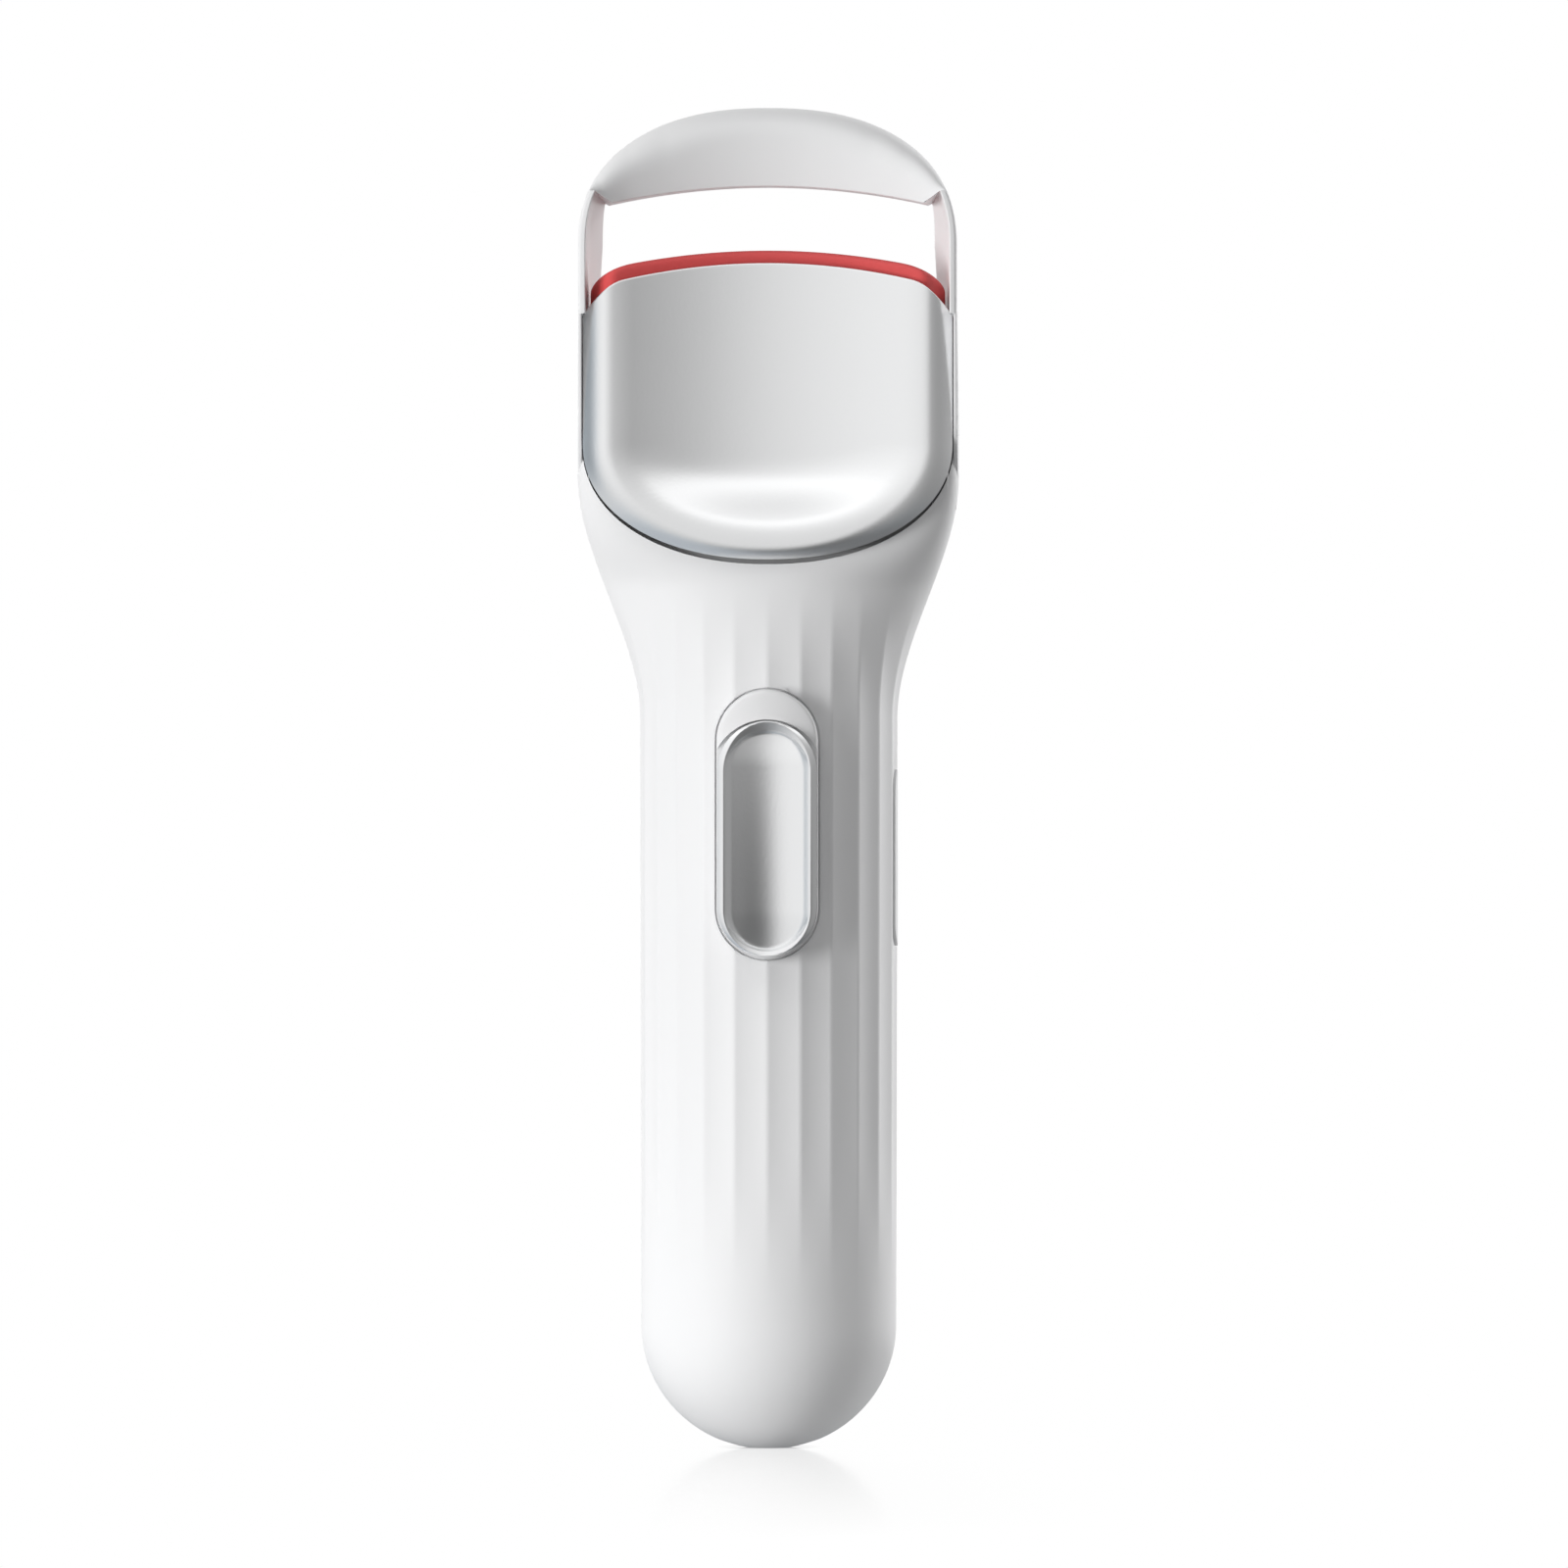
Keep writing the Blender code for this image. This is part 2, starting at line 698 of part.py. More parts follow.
def front_shell(finish):
    """White front: fluted handle, neck, head sides and the hoop in one moulding."""
    shell = outer_form()
    shell.name = "front_shell"
    keep_inside(shell, half_space(True))
    cut(shell, cavity_form())
    fuse(shell, hoop())
    cut(shell, cover_pocket())
    cut(shell, jaw_slot())
    fuse(shell, cover_ledge())
    cut(shell, button_recess())
    slot_half = STEM_HALF_WIDTH + SLOT_GAP
    slot_z = (STEM_LOW - SLOT_GAP, STEM_HIGH + LIFT + SLOT_GAP)
    cut(shell, box("slide_slot", (-slot_half, slot_half), (-20.0, -5.0), slot_z))
    rail_inner = SLED_HALF_WIDTH + FIT
    rail_outer = rail_inner + 1.2
    for x in ((-rail_outer, -rail_inner), (rail_inner, rail_outer)):
        rail = box("rail", x, (-12.0, -SLED_BACK - 0.2), (RAIL_LOW, RAIL_HIGH))
        fuse(shell, keep_inside(rail, wall_middle()))
    cut(shell, key_opening())
    cut(shell, port_opening())
    return finish_shell(shell, finish)


def rear_shell(finish):
    """White back: fluted handle and head back, with ribs for the cell, the board and the spring."""
    shell = outer_form()
    shell.name = "rear_shell"
    keep_inside(shell, half_space(False))
    cut(shell, cavity_form())
    for z in (15.0, 27.0, 39.0):
        rib = box("rib", (-12.0, 12.0), (0.6, 14.0), (z - 0.7, z + 0.7))
        keep_inside(rib, wall_middle())
        seat = circle((0.0, BATTERY_Y), BATTERY_RADIUS + FIT, 32)
        cut(rib, prism("cell_seat", seat, "z", z - 5.0, z + 5.0))
        fuse(shell, rib)
    shelf_low = SPRING_HIGH + FIT
    shelf = box("spring_shelf", (-4.4, 4.4), (-2.4, 14.0), (shelf_low, shelf_low + 1.4))
    fuse(shell, keep_inside(shelf, wall_middle()))
    for x, z in BOARD_SCREWS:
        boss = prism("boss", circle((x, z), 2.2), "y", BOARD_FRONT + BOARD_THICKNESS + FIT, 14.0)
        fuse(shell, keep_inside(boss, wall_middle()))
        cut(shell, prism("boss_hole", circle((x, z), 1.0, 12), "y", 0.5, 8.6))
    cut(shell, key_opening())
    cut(shell, port_opening())
    return finish_shell(shell, finish)


def finish_shell(shell, finish):
    shell.data.materials.clear()
    shell.data.materials.append(finish)
    shell.data.shade_smooth()
    shell.data.set_sharp_from_angle(angle=math.radians(30))
    return shell


# Lower jaw: pad, heat spreader, film heater and carrier, all bent to the lash line

def pad_top(x):
    corner = max(0.0, (abs(x) - PAD_HALF_WIDTH + PAD_CORNER_WIDTH) / PAD_CORNER_WIDTH)
    return jaw_edge(x, PAD_TOP) - PAD_CORNER_DROP * (1 - math.sqrt(max(0.0, 1 - corner ** 2)))


def band(name, half_width, front, back, low, high, finish, steps=20):
    """Curved strip: front and back are offsets from the pad's front line, low and high are heights of x."""
    rings = []
    for i in range(steps + 1):
        x = -half_width * math.cos(math.pi * i / steps)
        reach = min(abs(x), PAD_PLAN_END)
        spine = -PAD_FRONT - reach * reach / PAD_PLAN
        near = max(spine + front, pad_front(x) + front)
        rings.append([(x, near, high(x)), (x, spine + back, high(x)),
                      (x, spine + back, low(x)), (x, near, low(x))])
    return loft(name, rings, finish)


def lash_pad(finish):
    pad = band("lash_pad", PAD_HALF_WIDTH, 0.0, PAD_DEPTH,
               lambda x: jaw_edge(x, PAD_TOP) - PAD_THICKNESS, pad_top, finish)
    return round_edges(pad, 0.45, 2)


def heated_stack(finishes):
    """Metal bar under the pad, film heater under the bar, carrier under the film."""
    bar_top = PAD_TOP - PAD_THICKNESS - FIT
    film_top = bar_top - BAR_THICKNESS - FIT
    carrier_top = film_top - FILM_THICKNESS - FIT
    band("heater_bar", BAR_HALF_WIDTH, 0.3, 3.3, lambda x: jaw_edge(x, bar_top - BAR_THICKNESS),
         lambda x: jaw_edge(x, bar_top), finishes["aluminium"], 12)
    band("heater_film", FILM_HALF_WIDTH, 0.5, 3.1, lambda x: jaw_edge(x, film_top - FILM_THICKNESS),
         lambda x: jaw_edge(x, film_top), finishes["film"], 12)
    carrier = band("jaw_carrier", CARRIER_HALF_WIDTH, 0.2, PAD_DEPTH + 0.2, lambda x: SLED_HIGH + FIT,
                   lambda x: jaw_edge(x, carrier_top), finishes["nylon"], 12)
    tongue_y = (-TONGUE_FRONT, -TONGUE_BACK)
    fuse(carrier, box("tongue", (-6.0, 6.0), tongue_y, (TONGUE_LOW, SLED_HIGH + 1.0)))
    for z in SLED_SCREWS:
        cut(carrier, prism("screw_way", circle((0.0, z), SCREW_WAY, 12), "y", -6.0, 2.0))
    bead = circle((-PAD_FRONT + 3.95, carrier_top + FIT + 0.45), 0.45, 10)
    prism("thermistor", bead, "x", -1.2, 1.2, finishes["ceramic"])


# Thumb slide

def oval_tube(name, rise):
    """Upright elliptical cylinder round the slide and the key, at a rise over the handle's surface."""
    half_width = HANDLE_HALF_WIDTH + rise
    half_depth = HANDLE_HALF_DEPTH + rise
    ring = [(half_width * c, half_depth * s) for c, s in circle((0.0, 0.0), 1.0, 72)]
    return prism(name, ring, "z", BUTTON_LOW - 5.0, BUTTON_HIGH + 5.0)


def slide_button(finish):
    """White slide: a stadium that floats over the handle, with a stem through the slot."""
    outline = stadium(BUTTON_WIDTH / 2, BUTTON_LOW, BUTTON_HIGH)
    button = prism("slide_button", outline, "y", -16.0, -8.0, finish)
    keep_inside(button, oval_tube("crown", BUTTON_RISE))
    cut(button, oval_tube("hollow", BUTTON_FLOAT))
    seat = stadium(BUTTON_WIDTH / 2 + 0.6, DISH_LOW - 1.5, DISH_HIGH + 0.15)
    cut(button, prism("dish_seat", seat, "y", -20.0, -DISH_SEAT + FIT))
    stem_x = (-STEM_HALF_WIDTH, STEM_HALF_WIDTH)
    fuse(button, box("stem", stem_x, (-12.0, -STEM_BACK), (STEM_LOW, STEM_HIGH)))
    for z in BUTTON_SCREWS:
        cut(button, prism("screw_way", circle((0.0, z), SCREW_WAY, 12), "y", -9.5, -4.0))
    return button


def dish_depth(inset, x, z):
    """Depth of the thumb dish below its crest: a trough inside the rim, deeper towards its ends."""
    half = DISH_WIDTH / 2 - DISH_RIM
    end = min(DISH_HIGH - z, z - DISH_LOW) - DISH_RIM
    trough = (DISH_DEPTH - DISH_STEP) * max(0.0, 1 - (x / half) ** 2)
    trough += DISH_END_DEPTH * (1 - smooth(0.0, DISH_END_LENGTH, end))
    return DISH_STEP + trough * smooth(DISH_RIM, DISH_RIM + 0.8, inset)


def thumb_dish(finish):
    """Metal inlay of the slide: a long trough with a rolled rim."""
    half = DISH_WIDTH / 2
    rim = ((0.0, DISH_CREST - DISH_SEAT), (0.0, DISH_ROLL), (0.12, 0.13), (DISH_ROLL, 0.0), (0.62, 0.05))
    rings = []
    for inset, below_crest in rim:
        outline = stadium(half - inset, DISH_LOW + inset, DISH_HIGH - inset)
        rings.append([(x, below_crest - DISH_CREST, z) for x, z in outline])
    for inset in (DISH_RIM, 1.12, 1.52, 2.3, 3.2, 4.2):
        outline = stadium(half - inset, DISH_LOW + inset, DISH_HIGH - inset)
        rings.append([(x, dish_depth(inset, x, z) - DISH_CREST, z) for x, z in outline])
    return loft("thumb_dish", rings, finish)


def sled_bar(finish):
    """Flat bar from the slide up to the jaw, with a shelf that the return spring stands on."""
    sled_x = (-SLED_HALF_WIDTH, SLED_HALF_WIDTH)
    sled = box("sled_bar", sled_x, (-SLED_FRONT, -SLED_BACK), (SLED_LOW, SLED_HIGH), finish)
    shelf_top = SPRING_LOW - FIT
    fuse(sled, box("shelf", (-3.2, 3.2), (-SLED_BACK - 1.0, 2.2), (shelf_top - 1.2, shelf_top)))
    for z in SLED_SCREWS + BUTTON_SCREWS:
        cut(sled, prism("screw_way", circle((0.0, z), SCREW_WAY, 12), "y", -9.0, 0.0))
    return sled


def screw(name, place, head, tip, finish, head_length=1.0, radius=0.7):
    """Pan-head screw along y, from its head's bearing face to its tip."""
    away = 1 if head > tip else -1
    rings = []
    for y, r in ((head + away * head_length, 1.0), (head + away * head_length * 0.6, 1.5), (head, 1.6),
                 (head, radius), (tip + away * 0.5, radius), (tip, 0.3)):
        rings.append([(x, y, z) for x, z in circle(place, r, 12)])
    return loft(name, rings, finish)


def screws(finish):
    for name, z in zip(("sled_screw_lower", "sled_screw_upper"), SLED_SCREWS):
        screw(name, (0.0, z), -TONGUE_BACK + FIT, -5.2, finish)
    for name, z in zip(("button_screw_lower", "button_screw_upper"), BUTTON_SCREWS):
        screw(name, (0.0, z), -SLED_BACK + FIT, -9.0, finish)
    for name, place in zip(("board_screw_upper", "board_screw_lower"), BOARD_SCREWS):
        screw(name, place, BOARD_FRONT - FIT, 8.0, finish)


def return_spring(finish):
    """Coil that pushes the jaw back down."""
    steps = SPRING_TURNS * 12
    rise = SPRING_HIGH - SPRING_LOW - 2 * SPRING_WIRE
    rings = []
    for i in range(steps + 1):
        angle = 2 * math.pi * SPRING_TURNS * i / steps
        z = SPRING_LOW + SPRING_WIRE + rise * i / steps
        ring = []
        for k in range(6):
            turn = math.pi * k / 3
            reach = SPRING_RADIUS + SPRING_WIRE * math.cos(turn)
            ring.append((reach * math.cos(angle), SPRING_AXIS_Y + reach * math.sin(angle),
                         z + SPRING_WIRE * math.sin(turn)))
        rings.append(ring)
    return loft("return_spring", rings, finish)


# Electrics

def side_key(finish):
    """Long oval key in the right side, with a flange behind the wall and a nub to the switch."""
    flange_face = KEY_BACK + 0.7
    face = stadium(KEY_WIDTH / 2, KEY_LOW, KEY_HIGH)
    key = prism("side_key", face, "x", KEY_BACK + 0.5, HANDLE_HALF_WIDTH + 1.0, finish)
    keep_inside(key, oval_tube("key_face", KEY_RISE))
    round_edges(key, 0.25, 2)
    flange = stadium(KEY_WIDTH / 2 + KEY_FLANGE, KEY_LOW - KEY_FLANGE, KEY_HIGH + KEY_FLANGE)
    fuse(key, prism("flange", flange, "x", KEY_BACK, flange_face))
    nub = circle((SWITCH_Y, (KEY_LOW + KEY_HIGH) / 2), 0.8, 12)
    fuse(key, prism("nub", nub, "x", PLUNGER_TIP + KEY_TRAVEL + KEY_SLACK, KEY_BACK + 0.2))
    return key


def key_switch(finish):
    middle = (KEY_LOW + KEY_HIGH) / 2
    front = PLUNGER_TIP - 0.65
    switch_y = (0.2, BOARD_FRONT - FIT)
    switch = box("key_switch", (front - 3.4, front), switch_y, (middle - 2.2, middle + 2.2), finish)
    fuse(switch, prism("plunger", circle((SWITCH_Y, middle), 0.7, 12), "x", front - 0.3, PLUNGER_TIP))
    return switch


def circuit_board(finish):
    back = BOARD_FRONT + BOARD_THICKNESS
    board = box("circuit_board", (-7.0, 7.0), (BOARD_FRONT, back), (45.0, 78.0), finish)
    for x, z, half, tall in ((0.0, 62.0, 2.5, 1.0), (3.6, 69.5, 1.5, 1.2), (-4.2, 55.0, 1.4, 0.8)):
        fuse(board, box("chip", (x - half, x + half), (back - 0.4, back + tall), (z - half, z + half)))
    for place in BOARD_SCREWS:
        cut(board, prism("screw_way", circle(place, SCREW_WAY, 12), "y", 0.0, 9.0))
    return board


def battery(finish):
    """Round cell with a stepped positive cap."""
    rings = []
    for z, r in ((BATTERY_LOW, BATTERY_RADIUS - 0.4), (BATTERY_LOW + 0.4, BATTERY_RADIUS),
                 (BATTERY_HIGH - 1.8, BATTERY_RADIUS), (BATTERY_HIGH - 1.2, BATTERY_RADIUS - 0.6),
                 (BATTERY_HIGH - 1.2, 2.6), (BATTERY_HIGH, 2.4)):
        rings.append([(x, y, z) for x, y in circle((0.0, BATTERY_Y), r, 32)])
    return loft("battery", rings, finish)


def charging(finish_metal, finish_board):
    """Socket in the foot and the little board behind it."""
    socket = prism("usb_socket", port_outline(), "z", PORT_LOW, PORT_HIGH, finish_metal)
    cut(socket, prism("mouth", port_outline(-PORT_WALL), "z", -1.0, PORT_HIGH - 1.8))
    fuse(socket, box("tongue", (-3.3, 3.3), (-0.35, 0.35), (PORT_LOW + 0.7, PORT_HIGH - 1.0)))
    board_front = PORT_HALF_HEIGHT + FIT
    box("charge_board", (-6.0, 6.0), (board_front, board_front + 1.0), (4.2, 10.5), finish_board)


def heater_ribbon(finish):
    """Flat flexible lead from the jaw down to the board, in a soft S."""
    steps = 10
    route = []
    for i in range(steps + 1):
        z = RIBBON_HIGH + (RIBBON_LOW - RIBBON_HIGH) * i / steps
        y = RIBBON_BOARD_Y + (RIBBON_JAW_Y - RIBBON_BOARD_Y) * smooth(*RIBBON_BEND, z)
        route.append((y, z))
    rings = []
    for i, (y, z) in enumerate(route):
        before = route[max(i - 1, 0)]
        after = route[min(i + 1, steps)]
        scale = RIBBON_HALF / math.dist(before, after)
        across = ((after[1] - before[1]) * scale, (before[0] - after[0]) * scale)
        near = (y - across[0], z - across[1])
        far = (y + across[0], z + across[1])
        left, right = RIBBON_X
        rings.append([(left, *near), (right, *near), (right, *far), (left, *far)])
    return loft("heater_ribbon", rings, finish)


# Moving groups

def hang_on_axis(name, place, pieces):
    """Parent the pieces of a moving group to an empty on its sliding axis, without moving them."""
    axis = bpy.data.objects.new(name, None)
    axis.location = placed(place)
    axis.empty_display_size = 5 * MM
    bpy.context.scene.collection.objects.link(axis)
    for piece in pieces:
        child = bpy.data.objects[piece]
        child.parent = axis
        child.matrix_parent_inverse = Matrix.Translation(axis.location).inverted()


def main():
    clear_scene()
    white = material("white_abs", (0.86, 0.86, 0.87), 0.42)
    silver = material("satin_metal", (0.72, 0.73, 0.74), 0.28, 1.0)
    red = material("red_silicone", (0.62, 0.06, 0.07), 0.55)
    steel = material("zinc_steel", (0.6, 0.6, 0.62), 0.35, 1.0)
    finishes = {
        "aluminium": material("aluminium_bar", (0.77, 0.78, 0.79), 0.4, 1.0),
        "film": material("amber_film", (0.55, 0.25, 0.04), 0.35),
        "nylon": material("grey_nylon", (0.25, 0.25, 0.26), 0.6),
        "ceramic": material("thermistor_glass", (0.1, 0.1, 0.1), 0.3),
    }
    board_green = material("board_green", (0.02, 0.16, 0.07), 0.45)
    front_shell(white)
    rear_shell(white)
    jaw_cover(silver)
    lash_pad(red)
    heated_stack(finishes)
    slide_button(white)
    thumb_dish(silver)
    sled_bar(finishes["nylon"])
    screws(steel)
    return_spring(steel)
    side_key(white)
    key_switch(finishes["ceramic"])
    circuit_board(board_green)
    battery(material("cell_wrap", (0.05, 0.2, 0.45), 0.4))
    charging(steel, board_green)
    heater_ribbon(finishes["film"])
    hang_on_axis("jaw_slide_axis", (0.0, -(SLED_FRONT + SLED_BACK) / 2, SLED_LOW), (
        "slide_button", "thumb_dish", "button_screw_lower", "button_screw_upper", "sled_bar",
        "sled_screw_lower", "sled_screw_upper", "jaw_carrier", "thermistor", "heater_film",
        "heater_bar", "lash_pad"))
    hang_on_axis("key_press_axis", (KEY_BACK, SWITCH_Y, (KEY_LOW + KEY_HIGH) / 2), ("side_key",))


main()
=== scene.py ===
"""Looks of the heated eyelash curler: smooth skins over the CAD frame, finishes, and the photo's stage.

Lengths in the forms below are millimetres from the handle's axis, as in the
CAD source, and become metres in the row frame where a point is placed.
Lengths of the stage are metres in the row frame.
"""
import math

import bpy
from bpy.props import FloatProperty, FloatVectorProperty, PointerProperty
from bpy.types import Operator, Panel, PropertyGroup
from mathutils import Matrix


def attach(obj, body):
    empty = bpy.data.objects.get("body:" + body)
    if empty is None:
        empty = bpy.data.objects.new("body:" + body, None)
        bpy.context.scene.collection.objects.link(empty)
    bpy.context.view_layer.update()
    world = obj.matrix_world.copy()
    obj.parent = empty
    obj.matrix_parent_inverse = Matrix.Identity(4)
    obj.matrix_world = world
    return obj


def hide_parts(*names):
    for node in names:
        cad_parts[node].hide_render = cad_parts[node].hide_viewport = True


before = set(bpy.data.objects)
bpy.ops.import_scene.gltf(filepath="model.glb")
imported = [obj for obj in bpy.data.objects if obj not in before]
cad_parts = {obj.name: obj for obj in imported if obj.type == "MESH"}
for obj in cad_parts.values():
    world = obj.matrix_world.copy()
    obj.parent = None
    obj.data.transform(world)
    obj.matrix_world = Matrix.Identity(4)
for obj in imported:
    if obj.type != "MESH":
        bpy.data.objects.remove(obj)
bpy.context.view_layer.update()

bl_info = {
    "name": "Eyelash curler looks",
    "version": (1, 0, 0),
    "blender": (4, 5, 0),
    "location": "View3D > Sidebar > Curler",
    "description": "Builds the visible pieces, finishes and stage of a heated eyelash curler",
    "category": "Object",
}

MM = 0.001
AXIS_Y = 1.2
HALVINGS = 40

# Body
HEIGHT = 125.0
HANDLE_HALF_WIDTH = 12.0
HANDLE_HALF_DEPTH = 11.5
HANDLE_FOOT_TAPER = 0.12
TAPER_TOP = 64.0
HEAD_HALF_WIDTH = 17.75
HEAD_FRONT = 8.0
HEAD_BACK = 8.5
HEAD_TOP = 106.0
HEAD_TOP_ROUND = 1.2
HEAD_TOP_TAPER = 0.12
NECK_START = 68.0
NECK_END = 90.5
BOX_START = 80.0
BOX_END = 94.0
FRONT_BOXINESS = 8.0
BACK_BOXINESS = 1.0
SEAM_HALF_GAP = 0.012
SEAM_SHARP = 0.2
REAR_TOP_SHARP = 2.0
ROOF_INSET = 0.5
DOME_TOP = 11.4
DOME_WIDTH_REACH = 11.6
DOME_DEPTH_REACH = 11.8
DOME_DEPTH_POWER = 2.4
FLUTES = 24
FLUTE_COLUMNS = 12
FLUTE_FOOT = (14.0, 30.0)
FLUTE_NECK = (70.0, 81.0)
FLUTE_SPREAD = (78.0, 92.0)
FLUTE_SIDE_POWER = 6
FOOT_ROWS = 32
HANDLE_ROWS = 22

# Hoop and upper jaw
SPRING_LINE = 112.0
ARCH_HALF_WIDTH = 17.6
ARCH_POWER = 2.3
NOTCH_ANGLE = 20.0
NOTCH_TOP = 116.0
NOTCH_MIDDLE_DROP = 0.3
CORNER_ANGLE = 26.0
JAW_EDGE_TOP = 117.6
JAW_CORNER_X = 14.5
JAW_BACK_SPREAD = 1.03
LASH_CURVE = 0.0078
HOOP_FRONT = -5.0
HOOP_BACK = 2.5
HOOP_FRONT_PLAN = 60.0
HOOP_BACK_PLAN = 90.0
HOOP_FRONT_RIM = 3.0
HOOP_RIM_SPREAD = 0.0107
HOOP_RIM_SHARE = 0.7
HOOP_RIM_EDGE = 0.16
HOOP_ROLL_DEPTH = 1.5
HOOP_BACK_RIM = 2.7
HOOP_BACK_SHARE = 0.45
HOOP_FACE_LEAN = 0.5
HOOP_LEAN_HEIGHTS = (1.0, 5.0)
HOOP_EDGE_ROUND = 0.14
HOOP_INSIDE_ROUND = 1.0
HOOP_REAR_ROUND = 0.5
HOOP_ROUND_LIMIT = 0.62
ARM_FOOT = 87.5
ARM_FOOT_FRONT = -4.0
ARM_FOOT_SPREAD = 0.1
ARM_SIDE_FRONT = -8.6
ARM_SIDE_LOW = 95.0
ARM_INSET = 0.03
ARM_STEP = 0.003
ARM_FOOT_BACK_X = 16.2
ARM_BACK_X = 15.4
ARM_RIM_WIDTH = 0.65
ARM_RIM_LEAN = 0.12
ARM_DRAFT = 0.2
ARM_POCKET_DRAFT = 0.02

# Lower jaw
COVER_HALF_WIDTH = 17.2
COVER_SHOULDER = 93.6
COVER_DROP = 10.8
COVER_POWER = 2.15
COVER_TOP = 110.4
COVER_TOP_CURVE = 0.0088
COVER_TOP_NEAR = 0.02
COVER_CORNER_X = 13.3
COVER_CORNER_CURVE = 0.147
COVER_ROW_POWER = 1.6
COVER_SKIRT = 1.3
LIP_WIDTH = 2.85
LIP_FOOT_NARROWING = 1.6
LIP_EDGE_SLOPE = 1.1
LIP_CREST = 10.1
LIP_CREST_FOOT = 0.5
LIP_BLEND = 0.6
HOLLOW_CENTRE = 7.4
HOLLOW_EDGE = 14.2
HOLLOW_FOOT_RISE = 3.6
HOLLOW_FOOT_REACH = 9.8
SKIRT_FOOT = 1.6
POCKET_FLOOR = 4.8
POCKET_SIDE_GAP = 0.1
POCKET_FOOT_GAP = 0.45
POCKET_TOP = 105.7
POCKET_TOOL_RISE = 6.0
LEDGE_WEB = (0.15, 0.85)
LEDGE_REACH = 1.3
LEDGE_THICKNESS = 0.5
LEDGE_ANGLES = (14.0, 166.0)
LEDGE_IN_WALL = 0.5
LEDGE_WALL_LEAST = 0.1
JAW_SLOT_HALF_WIDTH = 15.95
JAW_SLOT_BACK_GAP = 0.65
PAD_TOP = 111.6
PAD_HALF_WIDTH = 16.5
PAD_CORNER_WIDTH = 4.0
PAD_CORNER_DROP = 1.9
PAD_THICKNESS = 3.45
PAD_FRONT = 5.8
PAD_PLAN = 60.0
PAD_PLAN_END = 14.0
PAD_END_CURVE = 0.55
PAD_END_ROUND = 0.25
PAD_DEPTH = 4.2

# Thumb slide, side key and socket
ARC_SHARE = 0.4
BUTTON_WIDTH = 9.4
BUTTON_LOW = 45.65
BUTTON_HIGH = 70.65
BUTTON_RISE = 1.7
BUTTON_FLOAT = 0.35
BUTTON_EDGE = 0.35
RECESS_GAP = 0.15
RECESS_DEPTH = 0.5
RECESS_DRAFT = 0.15
SEAT_SIDE_ROOM = 0.6
SEAT_FOOT_ROOM = 1.5
SEAT_TOP_ROOM = 0.15
DISH_WIDTH = 9.2
DISH_LOW = 45.85
DISH_HIGH = 67.75
DISH_SEAT = 12.55
DISH_CREST = 13.9
DISH_RIM = 0.64
DISH_RIM_TOP = 0.16
DISH_RIM_FOOT = 0.14
DISH_RIDGE = 0.1
DISH_RIM_FALL = 0.24
DISH_RIM_ROLL = 1.3
DISH_STEP = 0.03
DISH_WALL = 0.3
DISH_SHAPE = 1.35
DISH_END_DEPTH = 0.2
DISH_END_LENGTH = 3.6
KEY_LOW = 46.8
KEY_HIGH = 63.3
KEY_WIDTH = 4.4
KEY_RISE = 0.05
KEY_GAP = 0.05
KEY_EDGE = 0.12
KEY_BACK = 9.3
KEY_TOOL_REACH = (6.0, 16.0)
FIT = 0.3
PORT_HALF_WIDTH = 4.45
PORT_HALF_HEIGHT = 1.6
PORT_END_SHARE = 0.3
TOOL_FRONT = -20.0
RECESS_TOOL_FRONT = -16.0

# Stage, in metres
CAMERA_ASIDE = 0.00142
CAMERA_HEIGHT = 0.0619
SENSOR_WIDTH = 36.0
LAMP_DISTANCE = 0.9
FLOOR_RADIUS = 0.34
# Span across the floor over which its painted light on the left turns to painted shade on the right
FLOOR_PAINTED_SHADE_SPAN = (-0.035, 0.03)
FLOOR_FADE = (0.07, 0.12)
# Strength of the floor's painted glow, which lights the curler from below though the floor is no lamp
FLOOR_GLOW = 0.36
CONTACT_DISTANCE = 0.0008
CONTACT_SHADE = 0.55
MIRROR_SHARE = 0.27
MIRROR_REACH = 0.3
MIRROR_NARROWING = 5.0
GRAIN_HEIGHT = 0.0001

# Strength of the surroundings by direction from -1 to 1, upwards and from left to right
CURVE_TOP = 1.5
MIRRORED_UP = ((-1.0, 0.3), (-0.77, 0.5), (-0.4, 0.66), (0.0, 0.77), (0.5, 0.9), (0.78, 1.22),
               (0.9, 0.95), (1.0, 0.65))
DULL_UP = ((-1.0, 0.95), (-0.4, 0.85), (0.0, 0.77), (0.7, 0.97), (1.0, 1.0))
SIDEWAYS = ((-1.0, 0.3), (-0.95, 0.6), (-0.87, 1.1), (-0.68, 1.25), (-0.4, 1.17), (0.0, 1.0),
            (0.4, 0.66), (0.6, 0.53), (0.9, 0.42), (1.0, 0.5))

# Colours of the stage
BLACK = (0.0, 0.0, 0.0)
WHITE = (1.0, 1.0, 1.0)
# Floor colours: painted light on the left and painted shade on the right, then the floor's painted reflection
# as the metal sees it
FLOOR_PAINTED_LIGHT_LEFT = (0.8, 0.8, 0.8)
FLOOR_PAINTED_SHADE_RIGHT = (0.2, 0.2, 0.2)
FLOOR_PAINTED_REFLECTION_LEFT = (0.47, 0.51, 0.55)
FLOOR_PAINTED_REFLECTION_RIGHT = (0.16, 0.165, 0.17)
COOL_WHITE = (0.8, 0.91, 1.0)


